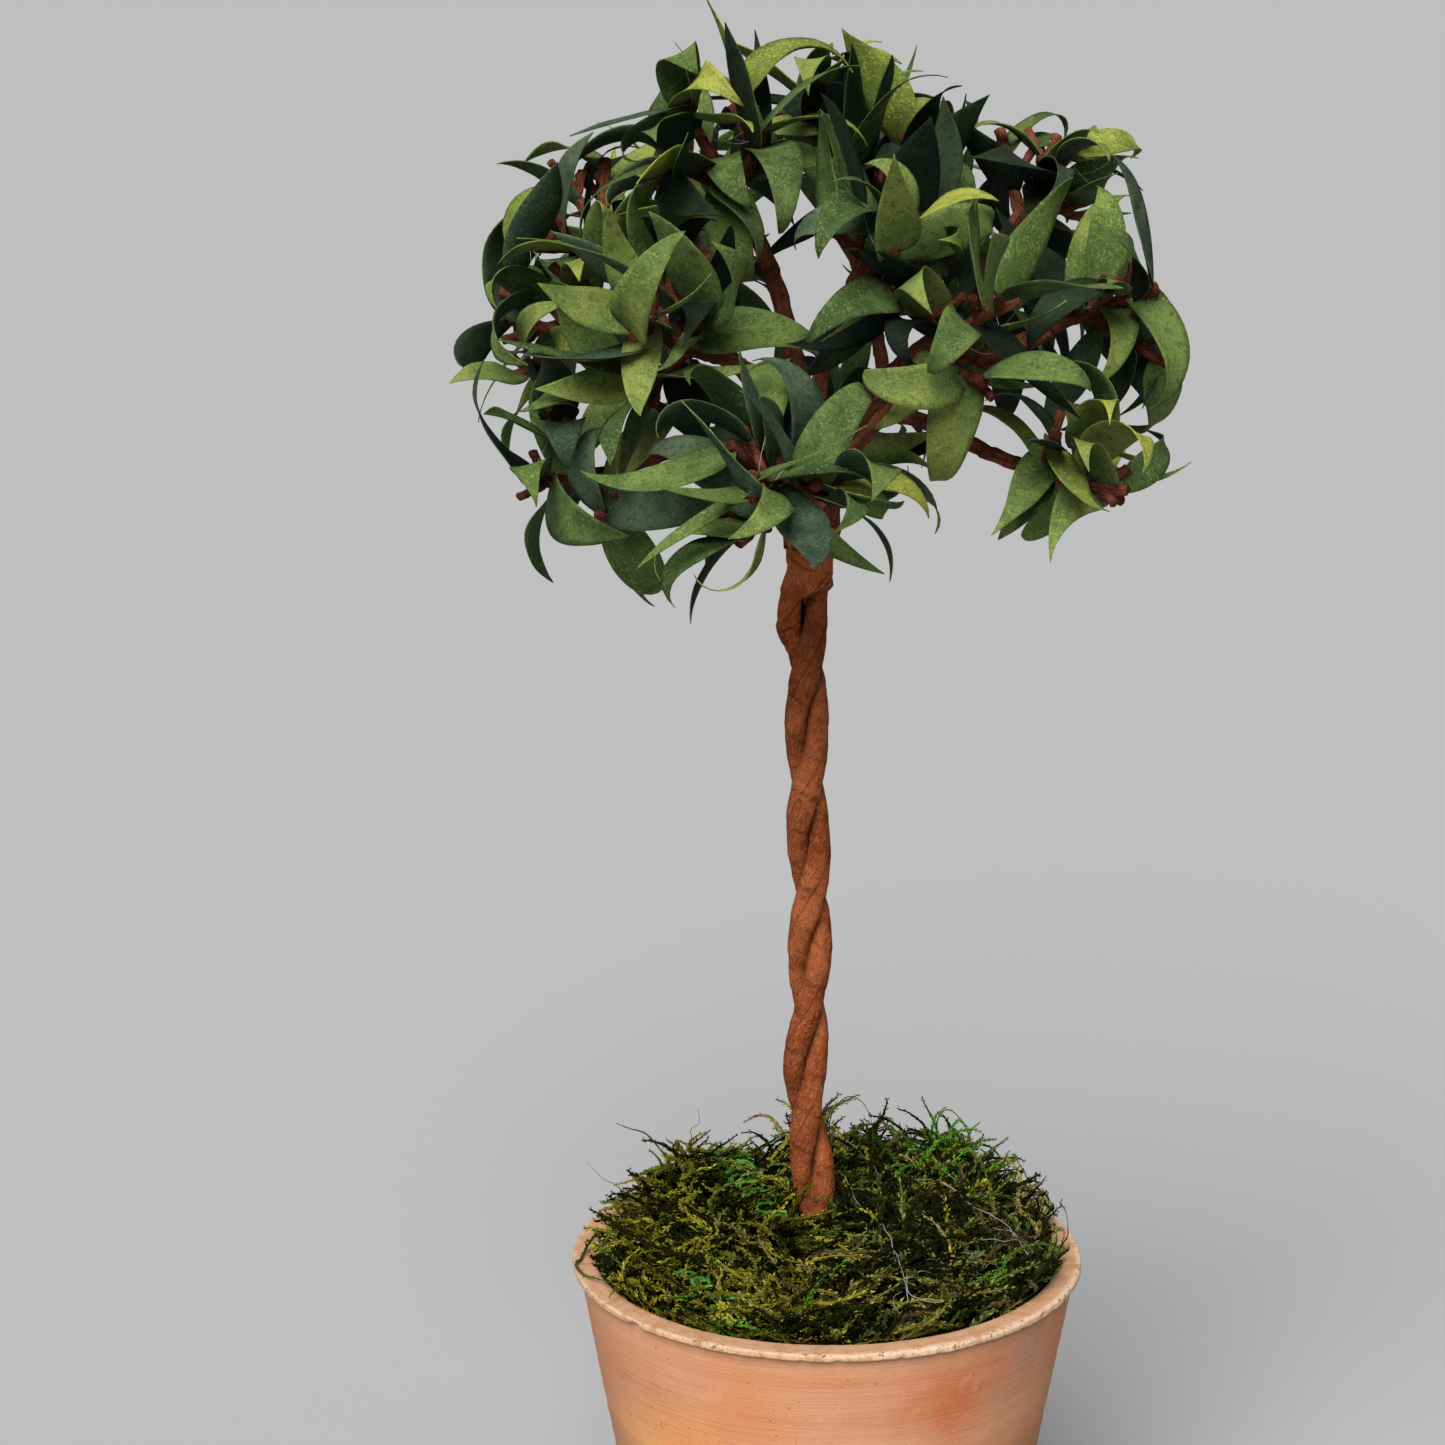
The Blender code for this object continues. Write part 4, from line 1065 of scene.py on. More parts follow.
def leaf_shape(stations, width, cup, sections, extra):
    """A leaf's points and faces: three-cornered sections between its root and its tip."""
    rings = []
    for step in sections:
        point, across, normal = stations[step]
        half = width * blade_width(step / LEAF_STEPS) / 2
        edge = normal * (half * 2 * cup + extra)
        rings.append([
            point + across * (half + 2 * extra) + edge,
            point - across * (half + 2 * extra) + edge,
            point - normal * (LEAF_THICKNESS + extra),
        ])
    points = [point for ring in rings for point in ring]
    faces = []
    for row in range(len(rings) - 1):
        for k in range(3):
            a = row * 3 + k
            b = row * 3 + (k + 1) % 3
            faces += raised_split(points, (b, a, a + 3, b + 3))
    if extra:
        last = len(points) - 3
        return points, faces + [(0, 1, 2), (last + 2, last + 1, last)]
    points += [stations[0][0], stations[-1][0]]
    root, tip = len(points) - 2, len(points) - 1
    last = len(points) - 5
    for k in range(3):
        n = (k + 1) % 3
        faces += [(k, n, root), (last + n, last + k, tip)]
    return points, faces


def tested_shape(stations, width, cup, extra):
    """What a leaf must have to itself."""
    points, faces = leaf_shape(stations, width, cup, TESTED_SECTIONS[0], extra)
    more, finer = leaf_shape(stations, width, cup, TESTED_SECTIONS[1], extra)
    count = len(points)
    return points + more, faces + [tuple(k + count for k in face) for face in finer]


def grow_leaves(seed, limbs, own, others, foreign, taken, leaves, count=LEAVES_A_TWIG):
    """Leaves round each twig. One that would leave the mass's space or touch a thing is skipped."""
    draw = random.Random(seed)
    grown = []
    for twig, radii in limbs[1:]:
        way = (twig[-1] - twig[-2]).normalized()
        side = way.orthogonal().normalized()
        first = draw.uniform(0, 360)
        for number in range(count):
            place = LEAF_PLACES[0] + LEAF_PLACES[1] * number / (count - 1)
            for attempt in range(LEAF_TRIES):
                at = (place + draw.uniform(*LEAF_PLACE_SLACK)) * TWIG_STEPS
                low = min(TWIG_STEPS - 1, int(at))
                root = twig[low].lerp(twig[low + 1], at - low)
                slack = draw.uniform(-LEAF_TURN_SLACK, LEAF_TURN_SLACK)
                turn = first + GOLDEN_ANGLE * number + slack + LEAF_TURN_STEP * attempt
                lean = math.radians(draw.uniform(*LEAF_LEANS))
                out = Quaternion(way, math.radians(turn)) @ side
                aim = way * math.cos(lean) + out * math.sin(lean) + UP * LEAF_LIFT
                aim.normalize()
                face = way * LEAF_FACING + UP * LEAF_FACING
                face += Vector([draw.uniform(-LEAF_FACE_SLACK, LEAF_FACE_SLACK) for _ in range(3)])
                face = (face - aim * face.dot(aim)).normalized()
                length = draw.uniform(*LEAF_LENGTHS)
                width = length * draw.uniform(*LEAF_WIDTHS)
                cup = draw.uniform(*LEAF_CUP)
                curl = draw.uniform(*LEAF_CURLS)
                sweep = draw.uniform(*LEAF_SWEEPS)
                roll = draw.uniform(*LEAF_ROLLS)
                stations = leaf_stations(root, aim, face, length, curl, sweep, roll)
                half, tip = stations[LEAF_STEPS // 2][0], stations[-1][0]
                body = leaf_shape(stations, width, cup, BODY_SECTIONS, 0)[0][:-2]
                if not in_crown(tip, TIP_BEYOND) or not all(in_crown(point) for point in body):
                    continue
                if any(reach_from(p, own) > reach_from(p, line) + SPACE_SLACK
                       for p in (half, tip) for line in others if (line[0] - p).length < NEAR_STEM):
                    continue
                whole = tree_of(leaf_shape(stations, width, cup, LEAF_SECTIONS, 0))
                if any(whole.overlap(other) for other in foreign):
                    continue
                free = tree_of(tested_shape(stations, width, cup, CLEAR))
                if any(free.overlap(other) for other in taken):
                    continue
                near = [tree for centre, tree in leaves if (centre - half).length < NEAR_LEAF]
                if any(free.overlap(other) for other in near):
                    continue
                standing = tested_shape(stations, width, cup, STANDING_SKIN)
                leaves.append((half, tree_of(standing)))
                grown.append((stations, width, cup))
                break
    return grown


stems = {name: grown[0][0] for name, grown in limbs.items()}
sleeves = {
    name: [tree_of(sleeve(line, radii, CLEAR)) for line, radii in grown]
    for name, grown in limbs.items()
}
standing_leaves = []
crown = {}
for name, seed in zip(laid, LEAF_SEEDS):
    others = [stem for other, stem in stems.items() if other != name]
    foreign = [tree for other in sleeves if other != name for tree in sleeves[other]]
    crown[name] = grow_leaves(
        seed, limbs[name], stems[name], others, foreign, taken, standing_leaves
    )

draw = random.Random(FINE_SEED)
fine_limbs = {}
for name, grown in limbs.items():
    found = [grow_fine(draw, twig, taken) for twig, _ in grown[1:] for _ in range(2)]
    fine_limbs[name] = [limb_found for limb_found in found if limb_found]
for number, name in enumerate(laid):
    if name.startswith(BARE_FINE_TWIGS):
        continue
    others = [stem for other, stem in stems.items() if other != name]
    foreign = [tree for other in sleeves if other != name for tree in sleeves[other]]
    carried = [limbs[name][0]] + fine_limbs[name]
    crown[name] += grow_leaves(
        FINE_SEED + number, carried, stems[name], others, foreign, taken, standing_leaves, 2
    )

wound = Pile()
draw = random.Random(12)
for name in laid:
    for order, (line, radii) in enumerate(limbs[name] + fine_limbs[name]):
        fine, girth = smooth_line(line, radii, 6)
        girth = [g * (1 + 0.07 * noise.noise(p * 300)) for g, p in zip(girth, fine)]
        points, faces, places, seam_and_shade_tones = limb(fine, girth, 0.0046, 0.00026, draw.uniform(0, 6), blunt=True)
        wound.add(points, faces, places, tone=seam_and_shade_tones)
give(wound.piece("twigs", limb_tape))

LEAF_ROWS = 18
LEAF_COLUMNS = 6
PAPER_THICKNESS = 0.00020
ROOT_WIDTH = 0.0014
BLADE_NARROWING = (0.66, 0.92)
BLADE_PEAKS = (0.28, 0.50)
BROAD_PEAKS = (0.14, 0.24)
BROAD_SHARE = 0.42
BLADE_TIP_POWERS = (0.90, 1.45)
BLADE_LOPSIDED = (0.72, 1.28)
SLIP_SHARE = 0.09
SLIP_WIDTH = 0.38
EXTRA_CUP = (-0.06, 0.03)
TIP_HOOKS = (-0.05, 0.13)
TIP_SWERVES = (-0.09, 0.09)
HOOK_START = 0.60
RIPPLE = (0.0, 0.0006)


def cut_width(part, peak, power):
    """One side's width of a cut leaf along its length, widest at a peak. The power bends its edge
    towards the tip: under 1 it is full, over 1 drawn out."""
    root_power = power * peak / (1 - peak)
    return (part / peak) ** root_power * ((1 - part) / (1 - peak)) ** power


def blade(stations, width, cup, slip, draw):
    """A leaf cut from paper: a curled two-sided sheet with its edges closed."""
    width *= draw.uniform(*BLADE_NARROWING) * (SLIP_WIDTH if slip else 1)
    cup += draw.uniform(*EXTRA_CUP)
    span = BROAD_PEAKS if draw.random() < BROAD_SHARE else BLADE_PEAKS
    cuts = [(draw.uniform(*span), draw.uniform(*BLADE_TIP_POWERS)) for _ in range(2)]
    lopsided = draw.uniform(*BLADE_LOPSIDED)
    shares = (lopsided, 2 - lopsided)
    length = sum((b[0] - a[0]).length for a, b in zip(stations, stations[1:]))
    hook = draw.uniform(*TIP_HOOKS) * length
    swerve = draw.uniform(*TIP_SWERVES) * length
    ripple = draw.uniform(*RIPPLE)
    phase = draw.uniform(0, 6)
    points = []
    places = []
    for side in (0.5, -0.5):
        for row in range(LEAF_ROWS + 1):
            part = (row / LEAF_ROWS) ** 1.15
            at = part * LEAF_STEPS
            low = min(LEAF_STEPS - 1, int(at))
            t = at - low
            a, b = stations[low], stations[low + 1]
            across = a[1].lerp(b[1], t).normalized()
            normal = a[2].lerp(b[2], t).normalized()
            end = max(0.0, part - HOOK_START) / (1 - HOOK_START)
            middle = a[0].lerp(b[0], t) - normal * hook * end ** 2.2 + across * swerve * end ** 2
            root = ROOT_WIDTH / 2 * (1 - part) ** 4
            halves = [
                math.hypot(width / 2 * share * cut_width(part, *cut), root) + 0.00005
                for share, cut in zip(shares, cuts)
            ]
            for column in range(LEAF_COLUMNS + 1):
                s = 2 * column / LEAF_COLUMNS - 1
                half = halves[s > 0]
                wave = ripple * abs(s) ** 3 * math.sin(9 * part + phase + 2 * s)
                lift = half * 2 * cup * s * s + wave * half / width * 2
                points.append(middle + across * half * s + normal * (lift + side * PAPER_THICKNESS))
                places.append((half * s * 1000, part * 30))
    count = (LEAF_ROWS + 1) * (LEAF_COLUMNS + 1)
    columns = LEAF_COLUMNS + 1
    upper = []
    lower = []
    for row in range(LEAF_ROWS):
        for column in range(LEAF_COLUMNS):
            a = row * columns + column
            upper.append((a, a + columns, a + columns + 1, a + 1))
            lower.append((a + count, a + count + 1, a + count + columns + 1, a + count + columns))
    rim = [(row * columns, (row + 1) * columns) for row in range(LEAF_ROWS)]
    rim += [(LEAF_ROWS * columns + k, LEAF_ROWS * columns + k + 1) for k in range(LEAF_COLUMNS)]
    rim += [((row + 1) * columns - 1, row * columns - 1) for row in range(LEAF_ROWS, 0, -1)]
    rim += [(k + 1, k) for k in range(LEAF_COLUMNS - 1, -1, -1)]
    edge = [(a, a + count, b + count, b) for a, b in rim]
    return points, upper, lower, edge, places


def paper(name, dark, light, patch, glow, fleck_strength):
    """Green crepe paper: a fine lengthwise grain, cloudy dye, pale specks and a yellow patch."""
    leaf = Finish(name, 0.78, specular=0.14)
    place = leaf.place()
    cut = leaf.uv("wrap")
    _, v, _ = leaf.parts(cut)
    tone = leaf.attribute("tone")
    cloud = leaf.noise(place, 120, 3, 0.6)
    colour = leaf.mix((cloud + tone * 0.34 - 0.17).rise(0.34, 0.66), dark, light)
    spread = leaf.noise(place, 70, 3, 0.6) + (tone - 0.5) * 0.25 + (v / 30 - 0.5) * 0.10
    colour = leaf.mix(spread.rise(0.50, 0.64) * glow, colour, patch)
    mottle = leaf.noise(place, 560, 4, 0.72)
    colour = leaf.mix(mottle.rise(0.48, 0.66) * 0.60, colour, [c * 0.55 for c in dark])
    pale = [min(1.0, c * 1.45 + 0.01) for c in patch]
    fleck = leaf.noise(place, 1700, 4, 0.72).rise(0.46, 0.68)
    fleck = fleck * (leaf.noise(place, 230, 3, 0.6).rise(0.36, 0.60) * 0.80 + 0.20)
    colour = leaf.mix(fleck * fleck_strength, colour, pale)
    grain = leaf.noise(place, 2900, 2, 0.6)
    colour = leaf.mix(grain.rise(0.52, 0.66) * 0.45, colour, [c * 0.60 for c in dark])
    colour = leaf.mix((1 - v.rise(0.5, 5.0)) * 0.40, colour, [c * 0.7 for c in dark])
    paste = leaf.noise(place, 800, 3, 0.7).rise(0.60, 0.68) * (1 - v.rise(1.0, 5.0))
    colour = leaf.mix(paste * 0.6, colour, (0.34, 0.36, 0.28))
    crepe = leaf.noise(leaf.stretched(cut, (4.2, 0.35, 1)), 1.0, 3, 0.6)
    relief = crepe * 0.8 + leaf.noise(place, 2600, 3, 0.6) * 0.6 + mottle * 0.6
    return leaf.done(colour, 0.70 + mottle * 0.20, relief, 0.00014)


PAPERS = (
    # name, dark, light, patch, strength of the patch and of the pale flecks
    ("paper_painted_shadow_green", (0.0022, 0.0060, 0.0030), (0.0090, 0.0170, 0.0070), (0.020, 0.034, 0.010), 0.40, 0.22),
    ("paper_slate_green", (0.0180, 0.0340, 0.0190), (0.0500, 0.0780, 0.0420), (0.080, 0.110, 0.052), 0.45, 0.45),
    ("paper_deep_green", (0.0250, 0.0470, 0.0120), (0.0640, 0.1000, 0.0250), (0.110, 0.150, 0.032), 0.60, 0.60),
    ("paper_leaf_green", (0.0500, 0.0840, 0.0190), (0.1010, 0.1400, 0.0350), (0.168, 0.198, 0.042), 0.75, 0.65),
    ("paper_yellow_green", (0.0820, 0.1160, 0.0180), (0.1500, 0.1800, 0.0300), (0.250, 0.262, 0.042), 0.80, 0.75),
)
PAPER_SHARES = (0.15, 0.52, 0.86)
papers = [paper(*row) for row in PAPERS]
draw = random.Random(5)
for name in laid:
    cut = Pile()
    for stations, width, cup in crown[name]:
        middle = stations[LEAF_STEPS // 2][0]
        out = math.hypot(middle.x, middle.y, middle.z - CROWN_HEIGHT) / CROWN_REACH
        slip = draw.random() < SLIP_SHARE
        points, upper, lower, edge, places = blade(stations, width, cup, slip, draw)
        # Painted light: leaves higher in the crown are more often cut from the paler papers.
        luck = draw.random() + (middle.z - CROWN_HEIGHT) * 2.5
        top = 1 + sum(luck > share for share in PAPER_SHARES)
        # Painted shadow: leaves deep inside the crown mostly get the near-black shadow paper.
        if draw.random() > out * 1.7 - 0.30:
            top = 0
        under = max(0, top - draw.choice((0, 1, 1, 2)))
        looks = [top] * len(upper) + [under] * len(lower) + [top] * len(edge)
        cut.add(points, upper + lower + edge, places, looks, draw.random(), flat=len(edge))
    piece = cut.piece("leaves_" + name, *papers)
    give(piece, ["foliage_" + name])


# Glue. Drops of clear hot glue at the leaves' roots, dried milky, and the hairs it drew between
# the leaves.

GLUE_SHARE = 0.30
GLUE_SIZE = (0.00035, 0.00075)
HAIR_SHARE = 0.22
HAIR_RADIUS = 0.00005


def glue_drop(centre, size, draw):
    """A small lump, as points and faces."""
    work = bmesh.new()
    bmesh.ops.create_icosphere(work, subdivisions=1, radius=size)
    squash = Vector([draw.uniform(0.6, 1.5) for _ in range(3)])
    shift = Vector([draw.uniform(0, 50) for _ in range(3)])
    points = []
    for vert in work.verts:
        swell = 1 + 0.5 * noise.noise(vert.co * 900 + shift)
        points.append(centre + Vector([a * b for a, b in zip(vert.co, squash)]) * swell)
    faces = [tuple(vert.index for vert in face.verts) for face in work.faces]
    work.free()
    return points, faces


def glue():
    """Milky glue with a soft gloss."""
    milk = Finish("hot_glue", 0.35, specular=0.5)
    cloud = milk.noise(milk.place(), 1400, 2, 0.5)
    return milk.done(milk.mix(cloud, (0.22, 0.22, 0.17), (0.60, 0.60, 0.54)), None, cloud, 0.0001)


draw = random.Random(33)
drops = Pile()
for name in laid:
    for stations, _, _ in crown[name]:
        root = stations[0][0]
        if draw.random() < GLUE_SHARE:
            points, faces = glue_drop(root + stations[0][2] * 0.0003, draw.uniform(*GLUE_SIZE), draw)
            drops.add(points, faces, [(0.0, 0.0)] * len(points))
        if draw.random() < HAIR_SHARE:
            near = min(
                (other[0] for grown in crown.values() for row in grown for other in row[0][3:9:5]),
                key=lambda p: abs((p - root).length - 0.011),
            )
            sag = Vector((draw.uniform(-1, 1), draw.uniform(-1, 1), -1.5)) * 0.0016
            hair = [root.lerp(near, k / 6) + sag * math.sin(math.pi * k / 6) for k in range(7)]
            rings = []
            for k, point in enumerate(hair):
                turns = [2 * math.pi * side / 3 for side in range(3)]
                way = (near - root).normalized()
                across = way.orthogonal().normalized()
                over = way.cross(across)
                rings.append([point + (across * math.cos(a) + over * math.sin(a)) * HAIR_RADIUS for a in turns])
            points, faces = skin(rings)
            drops.add(points, faces, [(0.0, 0.0)] * len(points))
give(drops.piece("glue", glue()))


# Moss. Dried and dyed sheet moss laid in a mound over the filler: thousands of feathery curled
# sprigs in streams, olive at the left, khaki in front and dark green elsewhere. Fern tips, long
# strands, bits of lichen and loose white threads lie on it, and tufts stand up at its back.

MOSS_RADIUS = 0.0508
MOSS_CROWN = 0.0150
MOSS_EDGE = 0.0080
MOSS_LUMP = 0.0009
MOSS_WAVES = ((1.0, 3, 9), (0.8, 7, -11), (0.6, 11, 17))
MOSS_DIP = 0.0022
BED_HOLE = 0.0048
BED_SINK = 0.0022
BED_BACK_RISE = 0.0030
BED_SIDES = 144
BED_RINGS = 40
SPRIG_KINDS = 12
BED_LUMPS = (
    # x, y, reach and rise in mm
    (-34, 22, 17, 4.5), (-3, 38, 13, 5.0), (28, 34, 15, 5.0), (-20, -22, 12, 1.5), (14, -28, 12, 2.0),
    (38, -20, 12, 2.0), (-2, -14, 12, 1.0), (20, 8, 10, 1.5),
)
PILE_HEIGHT = 0.0024
SPRIG_LENGTH = 0.0125
SPRIG_STEPS = 7
SPRIG_THICK = 0.00042
LEAFLET_LENGTH = 0.00100
LEAFLETS = 28
LEAFLET_LEANS = (16, 40)


def moss_height(part, turn):
    """The mound's top over the filler, from the trunk (part 0) to the wall (part 1)."""
    mound = MOSS_EDGE + (MOSS_CROWN - MOSS_EDGE) * (1 - part ** 2.2)
    lumps = sum(
        size * math.sin(round_turns * turn + out_turns * part)
        for size, round_turns, out_turns in MOSS_WAVES
    )
    dip = MOSS_DIP * part ** 4 * math.cos(turn) ** 4
    return mound + MOSS_LUMP * lumps * (1 - 0.5 * part) - dip


def bed_top(x, y):
    """The height of the matted ground at a place, with its clumps and the gaps between them."""
    part = max(0.0, min(1.0, (math.hypot(x, y) - BED_HOLE) / (MOSS_RADIUS - BED_HOLE)))
    back = max(0.0, min(1.0, (y + 0.010) / 0.045))
    place = Vector((x, y, 0))
    clumps = 0.0022 * noise.noise(place * 95) + 0.0016 * noise.noise(place * 230)
    clumps += 0.0006 * noise.noise(place * 620)
    for lump_x, lump_y, reach, rise in BED_LUMPS:
        away = math.hypot(x * 1000 - lump_x, y * 1000 - lump_y) / reach
        clumps += rise / 1000 * max(0.0, 1 - away * away) ** 2
    level = FILLER_TOP + CLEAR + moss_height(part, math.atan2(y, x)) - BED_SINK
    return level + BED_BACK_RISE * back + clumps


def bed_mesh():
    """The matted ground of the moss, that the sprigs stand on."""
    foot = FILLER_TOP + CLEAR
    hub = Vector((between(TRUNK_SWAY, foot), 0, 0))
    rings = []
    for row in range(BED_RINGS + 1):
        part = row / BED_RINGS
        radius = BED_HOLE + (MOSS_RADIUS - BED_HOLE) * part
        ring = []
        for side in range(BED_SIDES):
            turn = 2 * math.pi * side / BED_SIDES
            point = Vector((math.cos(turn), math.sin(turn), 0)) * radius + hub * (1 - part)
            point.z = bed_top(point.x, point.y)
            ring.append(point)
        rings.append(ring)
    outer = [Vector((p.x, p.y, foot)) for p in rings[-1]]
    inner = [Vector((p.x, p.y, foot)) for p in rings[0]]
    rings = [inner] + rings + [outer]
    points = [point for ring in rings for point in ring]
    faces = []
    for row in range(len(rings)):
        after = (row + 1) % len(rings)
        for k in range(BED_SIDES):
            n = (k + 1) % BED_SIDES
            faces.append((row * BED_SIDES + k, after * BED_SIDES + k, after * BED_SIDES + n, row * BED_SIDES + n))
    mesh = bpy.data.meshes.new("moss_bed")
    mesh.from_pydata(points, [], faces)
    work = bmesh.new()
    work.from_mesh(mesh)
    bmesh.ops.recalc_face_normals(work, faces=work.faces)
    work.to_mesh(mesh)
    work.free()
    mesh.shade_smooth()
    return mesh


def mossy(name, dark, light, tip):
    """Dyed dry moss: each sprig has its own tone, dark at its stem and paler at its leaflets' tips."""
    moss = Finish(name, 0.92, specular=0.03)
    place = moss.place()
    out, _, _ = moss.parts(moss.uv("wrap"))
    cloud = moss.noise(place, 150, 3, 0.6)
    fine = moss.noise(place, 900, 3, 0.6)
    tone = moss.attribute("tone")
    own = cloud * 0.50 + tone * 0.70 - 0.10
    colour = moss.mix((own + out * 0.30).rise(0.12, 0.82), dark, light)
    colour = moss.mix((out * 0.45 + fine * 0.40 + own * 0.65).rise(0.62, 1.15) * 0.90, colour, tip)
    return moss.done(colour, None, fine, 0.0002)


def feathered(line, thick, leaflet, count, draw, flat=False):
    """A mossy strand along a line: a tapering stem set with pointed leaflets, all round it or on
    its two sides. Gives points, faces, places (0 at the stem to 1 at a tip) and how many are flat."""
    last = len(line) - 1
    rings = []
    frames = []
    across = (line[1] - line[0]).orthogonal() if not flat else (line[1] - line[0]).cross(UP)
    for k, point in enumerate(line):
        way = (line[min(k + 1, last)] - line[max(k - 1, 0)]).normalized()
        across = (across - way * across.dot(way)).normalized()
        over = way.cross(across)
        frames.append((way, across, over))
        radius = thick * (1 - 0.75 * (k / last) ** 1.5)
        turns = [2 * math.pi * side / 3 for side in range(3)]
        rings.append([point + (across * math.cos(a) + over * math.sin(a)) * radius for a in turns])
    points, faces = skin(rings)
    places = [(0.0, k / last) for k in range(last + 1) for _ in range(3)]
    for number in range(count):
        at = (number + draw.uniform(0.3, 0.9)) / count * last * 0.995
        low = int(at)
        way, across, over = frames[low]
        turn = math.pi * (number % 2) + draw.uniform(-0.5, 0.5) if flat else 2.4 * number
        out = across * math.cos(turn) + over * math.sin(turn)
        lean = math.radians(draw.uniform(*LEAFLET_LEANS))
        aim = way * math.cos(lean) + out * math.sin(lean)
        size = leaflet * (1 - 0.45 * at / last) * draw.uniform(0.7, 1.3)
        root = line[low].lerp(line[low + 1], at - low) + out * thick * 0.5
        half = aim.cross(out).normalized() * size * 0.36
        ridge = root + out * size * 0.26 + aim * size * 0.35
        tip = root + aim * size + Vector([draw.uniform(-0.2, 0.2) * size for _ in range(3)])
        start = len(points)
        points += [root + half, root - half, ridge, tip]
        faces += [tuple(start + k for k in face) for face in ((0, 2, 1), (0, 1, 3), (1, 2, 3), (2, 0, 3))]
        places += [(0.25, at / last)] * 2 + [(0.5, at / last), (1.0, at / last)]
    return points, faces, places, 4 * count


def curled(start, heading, length, steps, bend, rise, droop, draw):
    """A line that curls to one side on its way and sinks towards its end."""
    line = [start.copy()]
    for _ in range(steps):
        level = math.cos(rise)
        way = Vector((math.cos(heading) * level, math.sin(heading) * level, math.sin(rise)))
        line.append(line[-1] + way * (length / steps))
        heading += bend + draw.uniform(-0.28, 0.28)
        rise -= droop + draw.uniform(-0.14, 0.14)
    return line


def sprig_mesh(seed):
    """One sprig, to be scattered."""
    draw = random.Random(seed)
    length = SPRIG_LENGTH * draw.uniform(0.75, 1.25)
    bend = draw.uniform(-0.40, 0.40)
    line = curled(Vector(), 0.0, length, SPRIG_STEPS, bend, draw.uniform(0.1, 0.7), draw.uniform(0.06, 0.22), draw)
    points, faces, places, flat = feathered(line, SPRIG_THICK, LEAFLET_LENGTH, LEAFLETS, draw)
    sprig = Pile()
    sprig.add(points, faces, places, flat=flat)
    mesh = sprig.piece(f"sprig_{seed}").data
    mesh.attributes.remove(mesh.attributes["tone"])
    return mesh


